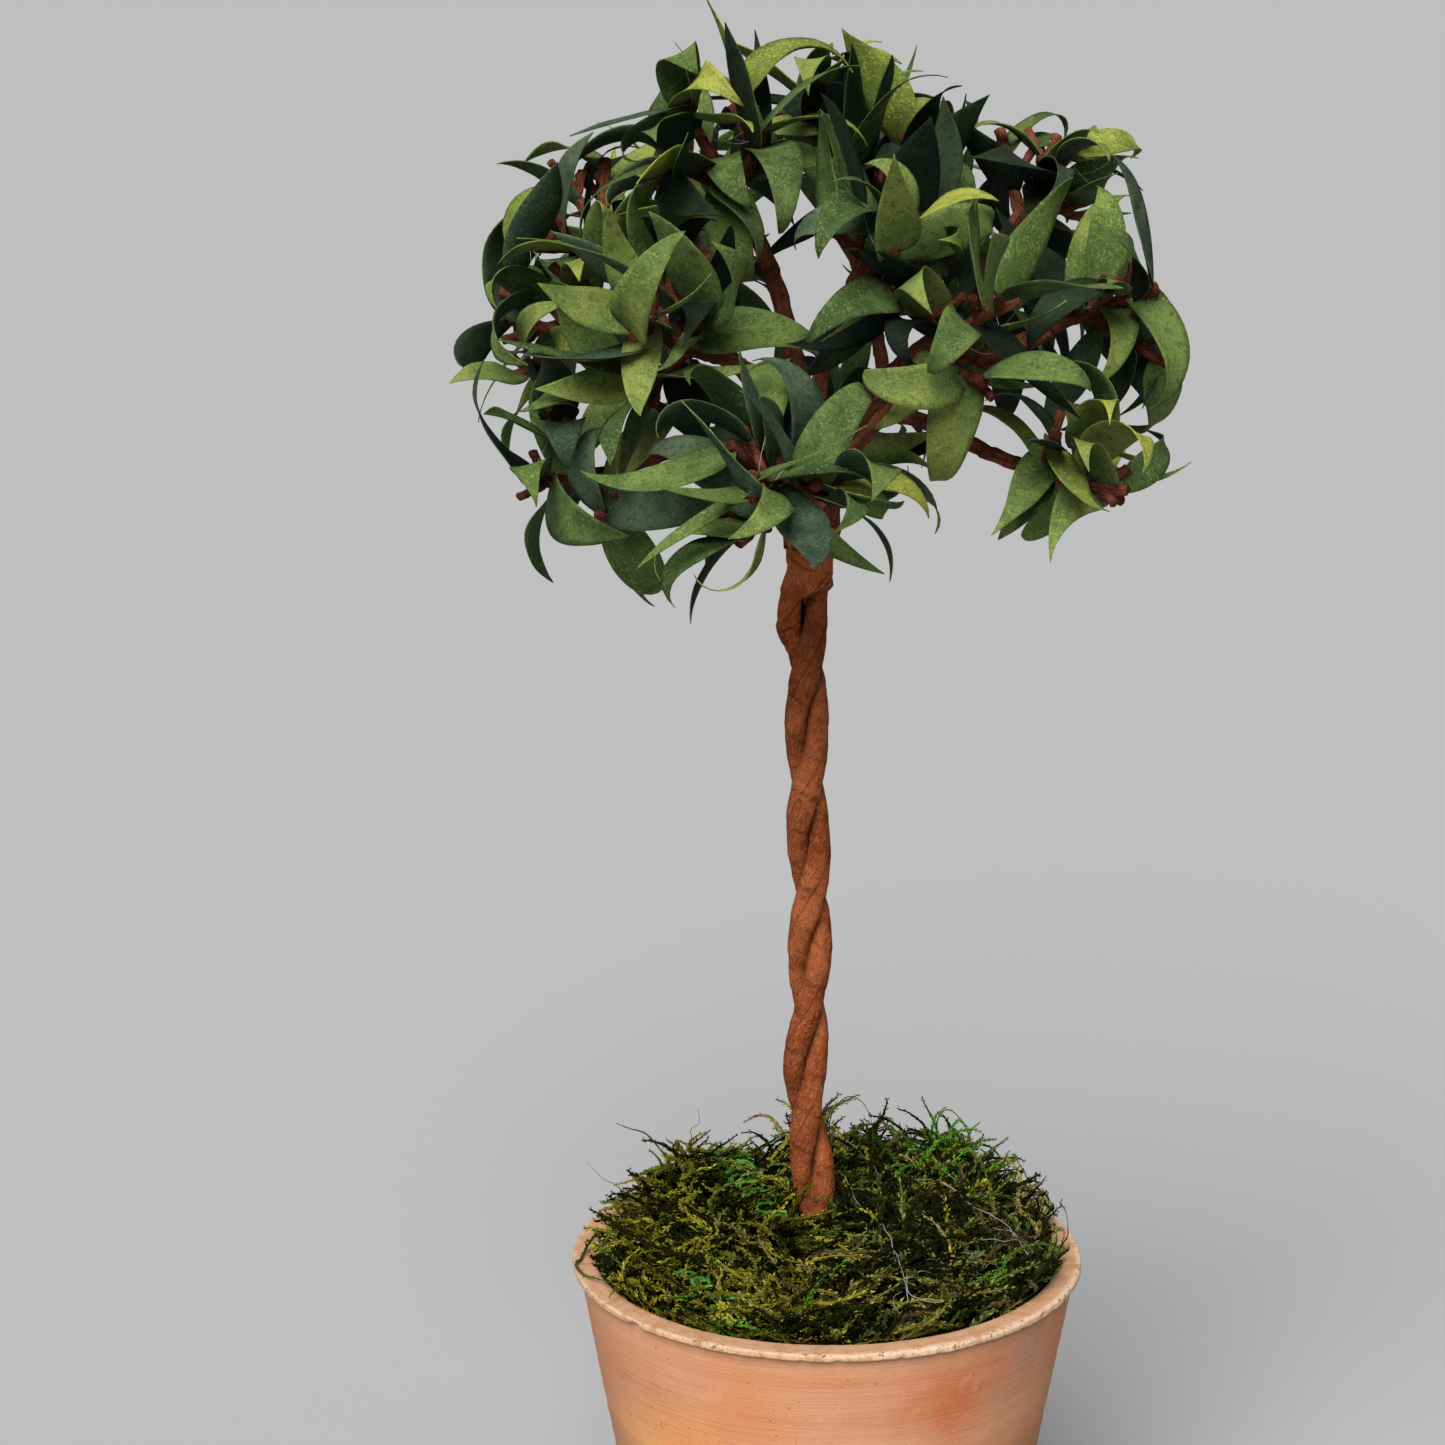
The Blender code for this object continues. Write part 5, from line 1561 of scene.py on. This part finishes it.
def scatter_tree():
    """Nodes that scatter a collection's sprigs over a bed, thick where its zone says, and turned
    the way that its flow says."""
    tree = bpy.data.node_groups.new("scatter sprigs", "GeometryNodeTree")
    tree.is_modifier = True
    face = tree.interface
    face.new_socket("Bed", in_out="INPUT", socket_type="NodeSocketGeometry")
    face.new_socket("Sprigs", in_out="INPUT", socket_type="NodeSocketCollection")
    face.new_socket("Density", in_out="INPUT", socket_type="NodeSocketFloat")
    face.new_socket("Zone", in_out="INPUT", socket_type="NodeSocketFloat")
    face.new_socket("Flow", in_out="INPUT", socket_type="NodeSocketFloat")
    face.new_socket("Stray", in_out="INPUT", socket_type="NodeSocketFloat")
    face.new_socket("Lowest Tilt", in_out="INPUT", socket_type="NodeSocketFloat")
    face.new_socket("Highest Tilt", in_out="INPUT", socket_type="NodeSocketFloat")
    face.new_socket("Smallest", in_out="INPUT", socket_type="NodeSocketFloat")
    face.new_socket("Largest", in_out="INPUT", socket_type="NodeSocketFloat")
    face.new_socket("Seed", in_out="INPUT", socket_type="NodeSocketInt")
    face.new_socket("Finish", in_out="INPUT", socket_type="NodeSocketMaterial")
    face.new_socket("Moss", in_out="OUTPUT", socket_type="NodeSocketGeometry")

    def node(kind, settings=None, **inputs):
        made = tree.nodes.new(kind)
        for key, value in (settings or {}).items():
            setattr(made, key, value)
        for key, value in inputs.items():
            target = made.inputs[int(key[1:])] if key[0] == "i" and key[1:].isdigit() else made.inputs[key]
            if isinstance(value, bpy.types.NodeSocket):
                tree.links.new(value, target)
            else:
                target.default_value = value
        return made

    given = node("NodeGroupInput").outputs
    thick = node("ShaderNodeMath", {"operation": "MULTIPLY"}, i0=given["Density"], i1=given["Zone"])
    spread = node(
        "GeometryNodeDistributePointsOnFaces", {"distribute_method": "RANDOM"},
        Mesh=given["Bed"], i4=thick.outputs[0], Seed=given["Seed"],
    )
    kinds = node(
        "GeometryNodeCollectionInfo", {"transform_space": "ORIGINAL"},
        Collection=given["Sprigs"], i1=True, i2=True,
    )
    back = node("ShaderNodeMath", {"operation": "MULTIPLY"}, i0=given["Stray"], i1=-1.0)
    low = node("ShaderNodeCombineXYZ", None, i0=-0.8, i1=given["Lowest Tilt"], i2=back.outputs[0])
    high = node("ShaderNodeCombineXYZ", None, i0=0.8, i1=given["Highest Tilt"], i2=given["Stray"])
    turn = node(
        "FunctionNodeRandomValue", {"data_type": "FLOAT_VECTOR"},
        i0=low.outputs[0], i1=high.outputs[0], Seed=given["Seed"],
    )
    main = node("ShaderNodeCombineXYZ", None, i0=0.0, i1=0.0, i2=given["Flow"])
    whole = node("ShaderNodeVectorMath", {"operation": "ADD"}, i0=turn.outputs[0], i1=main.outputs[0])
    size = node(
        "FunctionNodeRandomValue", {"data_type": "FLOAT"},
        i2=given["Smallest"], i3=given["Largest"], Seed=given["Seed"],
    )
    spin = node("FunctionNodeEulerToRotation", None, i0=whole.outputs[0])
    placed = node(
        "GeometryNodeInstanceOnPoints", None, Points=spread.outputs["Points"],
        Instance=kinds.outputs[0], i3=True, Rotation=spin.outputs[0], Scale=size.outputs[1],
    )
    luck = node("FunctionNodeRandomValue", {"data_type": "FLOAT"}, i2=0.0, i3=1.0, Seed=given["Seed"])
    toned = node(
        "GeometryNodeStoreNamedAttribute", {"data_type": "FLOAT", "domain": "INSTANCE"},
        Geometry=placed.outputs[0], Name="tone", Value=luck.outputs[1],
    )
    real = node("GeometryNodeRealizeInstances", None, Geometry=toned.outputs[0])
    finished = node("GeometryNodeSetMaterial", None, Geometry=real.outputs[0], Material=given["Finish"])
    out = node("NodeGroupOutput")
    tree.links.new(finished.outputs[0], out.inputs[0])
    return tree


def scattered(name, bed, zone, tree, values):
    """Runs the scatter over a bed with one zone's weights, and keeps the result as a plain mesh."""
    mesh = bed.copy()
    for field, rule in (("zone", zone), ("flow", flow)):
        weights = mesh.attributes.new(field, "FLOAT", "POINT")
        weights.data.foreach_set("value", [rule(v.co) for v in bed.vertices])
    carrier = bpy.data.objects.new(name + "_bed", mesh)
    bpy.context.scene.collection.objects.link(carrier)
    modifier = carrier.modifiers.new("Scatter", "NODES")
    modifier.node_group = tree
    for item in tree.interface.items_tree:
        if item.in_out == "INPUT" and item.name in values:
            modifier[item.identifier] = values[item.name]
        if item.name in ("Zone", "Flow"):
            modifier[item.identifier + "_use_attribute"] = True
            modifier[item.identifier + "_attribute_name"] = item.name.lower()
    bpy.context.view_layer.update()
    graph = bpy.context.evaluated_depsgraph_get()
    made = bpy.data.meshes.new_from_object(carrier.evaluated_get(graph))
    carrier.modifiers.clear()
    bpy.data.objects.remove(carrier, do_unlink=True)
    made.name = name
    hold_in_pot(made)
    return bpy.data.objects.new(name, made)


def hold_in_pot(mesh):
    """Presses sprigs that would pass through the pot's wall against its inside."""
    places = np.empty(len(mesh.vertices) * 3, dtype=np.float32)
    mesh.vertices.foreach_get("co", places)
    places = places.reshape(-1, 3)
    reach = np.hypot(places[:, 0], places[:, 1])
    height = places[:, 2]
    inner = RIM_RADIUS - WALL - 0.0006
    over = np.clip((height - POT_HEIGHT + 0.0004) / 0.004, 0, 1)
    limit = inner + over * 0.0035
    factor = np.where(reach > limit, limit / np.maximum(reach, 1e-6), 1.0)
    places[:, :2] *= factor[:, None]
    low = np.where(reach > inner - 0.001, FILLER_TOP + 0.002, 0)
    places[:, 2] = np.maximum(places[:, 2], low)
    mesh.vertices.foreach_set("co", places.ravel())
    mesh.update()


def flow(point):
    """The way that the sprigs run at a place, in radians round from +X."""
    left = max(0.0, min(1.0, (-point.x - 0.004) / 0.016))
    front = max(0.0, min(1.0, (-point.y - 0.010) / 0.016)) * (1 - left)
    streams = 2.6 * noise.noise(point * 40) + 1.3 * noise.noise(point * 110)
    return -1.7 * left + 0.2 * front + 0.9 * (1 - left - front) + streams


def under_zone(point):
    """1 on the bed's top, 0 on its hidden foot and sides."""
    return 1.0 if point.z > FILLER_TOP + 0.002 else 0.0


def top_only(point):
    """How thick the upper sprigs lie on the bed's top, where they leave dark gaps."""
    return under_zone(point) * max(0.15, min(1.7, 0.8 + 2.2 * noise.noise(point * 120)))


def near_place(point, x, y, reach):
    """1 at a place on the mound, 0 past a reach from it."""
    away = math.hypot(point.x - x, point.y - y) / reach
    return max(0.0, 1 - away * away)


def olive_zone(point):
    patch = 0.5 + 0.9 * noise.noise(point * 75)
    side = max(0.0, min(1.0, (-point.x - 0.001) / 0.014))
    return top_only(point) * max(0.0, min(1.0, side * 1.1 + patch * 0.20))


def khaki_zone(point):
    spots = near_place(point, 0.002, -0.036, 0.022) + 0.6 * near_place(point, 0.024, -0.036, 0.014)
    return top_only(point) * min(1.0, spots + 0.05)


def deep_zone(point):
    return top_only(point) * max(0.15, 1 - 0.8 * olive_zone(point) - 0.5 * khaki_zone(point))


def fresh_zone(point):
    spots = near_place(point, 0.030, 0.038, 0.016) + near_place(point, -0.024, -0.039, 0.012)
    spots += 0.5 * near_place(point, 0.036, -0.028, 0.014) + 0.6 * near_place(point, 0.012, 0.004, 0.012)
    return top_only(point) * min(1.0, spots + 0.05)


def tan_zone(point):
    return top_only(point) * (near_place(point, 0.047, 0.014, 0.014) + 0.04)


def brown_zone(point):
    spots = near_place(point, 0.043, -0.009, 0.010) + near_place(point, -0.004, 0.044, 0.010)
    spots += 0.7 * near_place(point, 0.025, 0.006, 0.009) + 0.7 * near_place(point, 0.000, -0.004, 0.009)
    return top_only(point) * min(1.0, spots + 0.06)


bed = bed_mesh()
bed_places = bed.uv_layers.new(name="wrap")
bed_places.data.foreach_set("uv", np.zeros(2 * len(bed.loops), dtype=np.float32))
# The ground under the sprigs is painted nearly black: painted shade in the gaps between them.
bed.materials.append(mossy("moss_bed_painted_shade", (0.0012, 0.0013, 0.0005), (0.0040, 0.0042, 0.0010), (0.0080, 0.0076, 0.0018)))
give(bpy.data.objects.new("moss_bed", bed), ["moss"])

sprigs = bpy.data.collections.new("sprigs")
bpy.context.scene.collection.children.link(sprigs)
for kind in range(SPRIG_KINDS):
    sprigs.objects.link(bpy.data.objects.new(f"sprig_{kind}", sprig_mesh(kind)))

scatter = scatter_tree()
MOSS_KINDS = (
    # name, zone, sprigs a square metre, dark, light and tip colours
    # The under layer is painted nearly black: painted shade deep down in the moss.
    ("under", under_zone, 100000, (0.0012, 0.0016, 0.0004), (0.0060, 0.0072, 0.0012), (0.020, 0.022, 0.003)),
    ("olive", olive_zone, 105000, (0.0200, 0.0205, 0.0014), (0.1250, 0.1200, 0.0080), (0.370, 0.330, 0.040)),
    ("khaki", khaki_zone, 80000, (0.0180, 0.0160, 0.0020), (0.1000, 0.0900, 0.0140), (0.270, 0.250, 0.062)),
    ("deep", deep_zone, 86000, (0.0045, 0.0090, 0.0010), (0.0420, 0.0600, 0.0085), (0.175, 0.200, 0.046)),
    ("fresh", fresh_zone, 44000, (0.0080, 0.0300, 0.0030), (0.0420, 0.1250, 0.0100), (0.140, 0.300, 0.032)),
    ("tan", tan_zone, 110000, (0.0420, 0.0290, 0.0080), (0.1600, 0.1200, 0.0340), (0.400, 0.310, 0.100)),
    ("brown", brown_zone, 66000, (0.0110, 0.0080, 0.0030), (0.0520, 0.0360, 0.0150), (0.145, 0.105, 0.050)),
)
moss_finishes = {}
for number, (kind, zone, density, dark, light, tip) in enumerate(MOSS_KINDS):
    moss_finishes[kind] = mossy("moss_" + kind, dark, light, tip)
    values = {
        "Sprigs": sprigs, "Density": float(density), "Stray": 0.85, "Lowest Tilt": -0.60,
        "Highest Tilt": 0.20, "Smallest": 0.85, "Largest": 1.60, "Seed": 7 + number,
        "Finish": moss_finishes[kind],
    }
    give(scattered("moss_" + kind, bed, zone, scatter, values))
for item in list(sprigs.objects):
    bpy.data.objects.remove(item, do_unlink=True)
bpy.data.collections.remove(sprigs)

STRANDS = (
    # colour, half thickness and leaflet length in mm, spots: x, y and height over the ground in mm
    ("olive", 0.34, 1.0, ((-36.5, -1, 1.5), (-38, -9, 3.2), (-40.5, -18, 2.8), (-43.5, -26.5, 2.4), (-46.5, -32.5, 1.6))),
    ("khaki", 0.34, 0.9, ((-3, -12, 1.0), (-9.2, -16.2, 3.0), (-15, -19, 2.8), (-18.4, -15, 3.0), (-19.6, -8.7, 2.2))),
    ("olive", 0.36, 1.0, ((-11, -2, 0.5), (-8.5, -5.5, 3.0), (-5.5, -7.5, 6.0), (-2.6, -8.4, 8.6))),
    ("deep", 0.30, 0.8, ((-47, 7, 1.0), (-52, 1, 2.6), (-54.5, -7, 0.6), (-55.4, -13, 0.5), (-52, -20, 0.8), (-46, -25, 2.0))),
    ("deep", 0.28, 0.7, ((-44, 21, 1.5), (-48.5, 20, 4.0), (-49.5, 15, 4.2), (-47, 10, 2.6), (-45.5, 0, 1.0))),
    ("khaki", 0.50, 1.3, ((13.5, -21.5, 2.0), (17.0, -16, 3.0), (21.0, -10.5, 2.2))),
    ("fresh", 0.36, 1.1, ((11.5, 42, 6.0), (13.5, 34, 4.5), (16.0, 22, 3.2), (18.5, 13, 2.4))),
    ("khaki", 0.30, 1.0, ((0, -26, 2.4), (5, -32, 2.8), (10, -38, 2.0))),
    ("khaki", 0.40, 1.1, ((28, -14, 2.2), (30, -20, 3.0), (31, -26, 2.0))),
    ("olive", 0.30, 1.0, ((-24, -2, 2.4), (-27, -10, 3.0), (-26, -18, 2.4), (-29, -25, 1.4))),
    ("olive", 0.34, 1.1, ((-30, 22, 2.6), (-33, 12, 3.2), (-32, 2, 2.6))),
    ("deep", 0.30, 1.0, ((20, -36, 2.0), (26, -33, 3.2), (32, -30, 2.4), (36, -24, 1.6))),
    ("olive", 0.30, 1.0, ((-14, -30, 2.0), (-10, -36, 2.8), (-11, -43, 1.4))),
    ("fresh", 0.34, 1.1, ((22, 24, 2.0), (27, 31, 3.5), (31, 39, 3.0))),
    ("fresh", 0.34, 1.0, ((27, 37, 1.0), (25.5, 38, 5.0), (26.5, 38.5, 9.0), (29, 39, 11.0))),
    ("deep", 0.32, 1.0, ((29, 38, 1.0), (31, 39, 5.5), (34.5, 39.5, 7.5), (38.5, 39, 5.0))),
    ("fresh", 0.32, 1.0, ((30, 37, 1.0), (30, 38, 5.0), (33, 38.5, 8.0), (36.5, 38, 7.0))),
    ("khaki", 0.36, 1.0, ((-20, -24, 2.0), (-16, -29, 3.2), (-15, -35, 2.8), (-18, -40, 1.6))),
    ("olive", 0.36, 1.1, ((-36, 14, 3.0), (-41, 8, 3.6), (-42, 0, 3.0), (-40, -8, 2.4))),
    ("khaki", 0.34, 1.0, ((6, -18, 2.4), (3, -24, 3.2), (-2, -29, 2.8), (-4, -36, 2.0))),
    ("deep", 0.36, 1.0, ((16, -4, 2.6), (20, -8, 3.2), (20, -15, 2.8), (17, -21, 2.0))),
    ("khaki", 0.34, 1.0, ((34, 14, 2.6), (38, 8, 3.4), (38, 0, 3.0), (35, -6, 2.0))),
    ("olive", 0.34, 1.0, ((4, 30, 3.0), (9, 26, 3.8), (10, 19, 3.2), (8, 13, 2.2))),
)
TUFTS = (
    # colour, x and y in mm, how many strands, their length in mm
    ("fresh", 27, 38, 12, 17), ("deep", 31, 37, 14, 15), ("olive", 23, 37, 10, 11), ("olive", -15, 42, 14, 12),
    ("brown", -4, 40, 16, 9), ("olive", -33, 28, 14, 9), ("deep", 8, 42, 14, 9), ("deep", 16, 40, 12, 9),
    ("olive", -24, 37, 14, 9), ("olive", -43, 20, 12, 9), ("deep", 38, 29, 14, 8), ("tan", 49, 12, 16, 7),
    ("tan", 46, 19, 14, 7), ("olive", -45, 6, 8, 7), ("olive", -38, 12, 10, 7), ("khaki", 2, -42, 8, 6),
    ("deep", 24, -38, 8, 6), ("fresh", 38, -26, 8, 7),
)
FERNS = (
    # from and to in mm, how many pinnae a side, their length in mm
    ((-27.5, 40), (-11, -13), 20, 8.5), ((-32, -31), (-19.5, -44.5), 11, 3.6), ((28.8, 44), (35, 30.5), 9, 3.8),
)
TANGLES = (
    # colour, x, y and reach in mm, how many strands
    ("lichen", 31.6, -22.5, 3.6, 34), ("lichen", 14.8, -29.4, 2.4, 14), ("lichen", 24.5, -28.1, 2.6, 12),
    ("lichen", -26.5, 34.0, 4.0, 26), ("lichen", -24.5, 24.0, 3.4, 18), ("lichen", 12.0, -2.0, 2.4, 8),
    ("brown", 43.0, -9.0, 4.6, 60), ("brown", 24.7, 6.0, 3.4, 26), ("brown", 38.0, -6.0, 3.0, 20),
)
THREADS = (
    # half thickness in mm, spots: x, y and height over the ground in mm
    (0.11, ((20.5, 17.5, 2.2), (27, 8.6, 3.4), (33.7, 2.1, 3.4), (39.2, -6.6, 4.6), (41.6, -13.5, 5.0), (46.5, -18.5, 2.6))),
    (0.07, ((1.2, 38, 4.0), (7.3, 26.4, 3.8), (12, 17, 3.0), (10, 9, 3.0), (7.5, 2.6, 2.6))),
    (0.08, ((2.5, 12.3, 3.0), (5.7, 0.7, 4.0), (7, -4, 3.0), (11.8, -9.6, 3.0), (12.8, -22.7, 4.2))),
    (0.10, ((12.8, -22.7, 4.2), (14.8, -29.4, 3.4), (16.5, -37.5, 3.6), (18.2, -44.6, 1.6))),
    (0.09, ((16.4, -38.2, 3.4), (20.2, -35.8, 4.0), (24.2, -31.5, 2.6))),
    (0.09, ((17.0, -37.0, 3.4), (18.0, -41.5, 3.0), (24, -42.6, 2.2))),
    (0.07, ((34, -20, 3.6), (39, -18, 4.2), (43, -15, 4.4), (47.5, -14, 2.6))),
    (0.07, ((37, -12, 5.0), (41, -16, 5.0), (44, -13, 5.0), (47, -17.5, 2.2))),
    (0.06, ((16, -40, 2.6), (14, -43.5, 2.8), (16.5, -46.5, 1.2))),
)
WISPS = (
    # colour, half thickness in mm, points in mm
    ("olive", 0.24, ((-38, 33, 114), (-43, 37, 118.5), (-47.5, 39, 119.4), (-51.0, 40, 120.4))),
    ("khaki", 0.13, ((-46, 19, 109.5), (-49.5, 18, 113), (-52, 17.5, 114.5), (-56, 17, 119))),
    ("khaki", 0.13, ((39, 20, 111.5), (41.5, 18, 116), (43, 17.5, 117), (45.5, 17, 120.5))),
    ("olive", 0.11, ((-32, 44, 113.5), (-33, 45, 117), (-31, 46, 118.5), (-31.2, 46, 122.5))),
    ("fresh", 0.26, ((27.5, 38, 114), (27, 40, 121.5), (30, 41, 124.0), (35, 41, 119.0))),
    ("khaki", 0.17, ((2.0, 16, 117), (1.0, 17, 129), (4.5, 18, 134.5), (8.5, 18, 133.5), (10.8, 18, 128), (11, 18, 119))),
)


def resting(x, y, up):
    """A point at a height over the moss, or over the rim's top, all in millimetres."""
    ground = bed_top(x / 1000, y / 1000) + PILE_HEIGHT
    if math.hypot(x, y) > 51.5:
        ground = POT_HEIGHT
    return Vector((x / 1000, y / 1000, ground + up / 1000))


def thread(line, radius):
    """A thin round thread along a line, with its points and places."""
    rings = []
    for k, point in enumerate(line):
        way = (line[min(k + 1, len(line) - 1)] - line[max(k - 1, 0)]).normalized()
        across = way.cross(UP).normalized() if abs(way.z) < 0.95 else way.orthogonal().normalized()
        over = way.cross(across)
        turns = [2 * math.pi * side / 4 for side in range(4)]
        rings.append([point + (across * math.cos(a) + over * math.sin(a)) * radius for a in turns])
    points, faces = skin(rings)
    return points, faces, [(0.0, 0.0)] * len(points)


moss_finishes["lichen"] = mossy("lichen", (0.055, 0.078, 0.036), (0.130, 0.175, 0.088), (0.240, 0.300, 0.180))
moss_finishes["fern"] = mossy("fern", (0.014, 0.048, 0.005), (0.070, 0.200, 0.024), (0.220, 0.380, 0.090))
strand_finishes = list(moss_finishes.values())
strand_looks = {kind: number for number, kind in enumerate(moss_finishes)}
draw = random.Random(21)
laid_moss = Pile()


def lay(colour, line, thick, leaflet, spacing, flat=False):
    """Adds one feathered strand of a colour."""
    length = sum((b - a).length for a, b in zip(line, line[1:]))
    points, faces, places, flat_count = feathered(line, thick, leaflet, max(6, int(length / spacing)), draw, flat)
    laid_moss.add(points, faces, places, strand_looks[colour], draw.random(), flat_count)


for colour, thick, leaflet, spots in STRANDS:
    line = [resting(*spot) for spot in spots]
    line, _ = smooth_line(line, [1.0] * len(line), 5)
    line = [p + Vector([0.0005 * noise.noise(p * 400 + UP * k) for k in range(3)]) for p in line]
    lay(colour, line, thick * 1.3 / 1000, leaflet / 1000, 0.00032)
for colour, x, y, count, length in TUFTS:
    for _ in range(count):
        root = resting(x + draw.gauss(0, 2.2), y + draw.gauss(0, 1.8), -1.6)
        line = curled(
            root, draw.uniform(0, 2 * math.pi), draw.uniform(0.6, 1.1) * length / 1000, 9,
            draw.uniform(-0.42, 0.42), draw.uniform(0.65, 1.35), draw.uniform(0.06, 0.30), draw,
        )
        lay(colour, line, 0.00042, draw.uniform(0.0008, 0.0011), 0.00036)
for start, end, count, length in FERNS:
    side_way = Vector((start[1] - end[1], end[0] - start[0], 0)).normalized()
    for number in range(count):
        t = (number + 0.5) / count
        x = start[0] + (end[0] - start[0]) * t
        y = start[1] + (end[1] - start[1]) * t
        root = resting(x, y, 3.2)
        along = Vector((end[0] - start[0], end[1] - start[1], 0)).normalized()
        reach = length / 1000 * (1 - 0.55 * t) * draw.uniform(0.85, 1.1)
        for side in (-1, 1):
            way = side_way * side + along * 0.55
            heading = math.atan2(way.y, way.x)
            line = curled(root, heading, reach, 7, -0.13 * side, 0.40, 0.12, draw)
            lay("fern", line, 0.00042, 0.00080, 0.00030, flat=True)
for colour, x, y, reach, count in TANGLES:
    for _ in range(count):
        away = reach * draw.random() ** 0.6
        turn = draw.uniform(0, 2 * math.pi)
        root = resting(x + away * math.cos(turn), y + away * math.sin(turn), draw.uniform(1.0, 3.6) - away / reach)
        line = curled(
            root, turn + draw.uniform(1, 4), reach / 1000 * draw.uniform(0.6, 1.2), 7,
            draw.choice((-1, 1)) * draw.uniform(0.2, 0.7), draw.uniform(-0.1, 0.6), draw.uniform(0.0, 0.25), draw,
        )
        lay(colour, line, 0.00011, 0.00040, 0.00060)
for colour, thick, spots in WISPS:
    line, _ = smooth_line([Vector(spot) / 1000 for spot in spots], [1.0] * len(spots), 7)
    lay(colour, line, thick / 1000, thick / 1000 * 2.2, 0.0009)
strands_piece = laid_moss.piece("moss_strands", *strand_finishes)
give(strands_piece)

cotton = Finish("loose_thread", 0.8, specular=0.2)
fuzz = cotton.noise(cotton.place(), 900, 3, 0.6)
cotton_material = cotton.done(cotton.mix(fuzz, (0.10, 0.10, 0.09), (0.34, 0.34, 0.30)), None, fuzz, 0.0001)
strings = Pile()
for thick, spots in THREADS:
    line, _ = smooth_line([resting(*spot) for spot in spots], [1.0] * len(spots), 9)
    line = [p + Vector([0.0006 * noise.noise(p * 260 + UP * (k + 3)) for k in range(3)]) for p in line]
    strings.add(*thread(line, thick / 1000))
give(strings.piece("moss_threads", cotton_material))
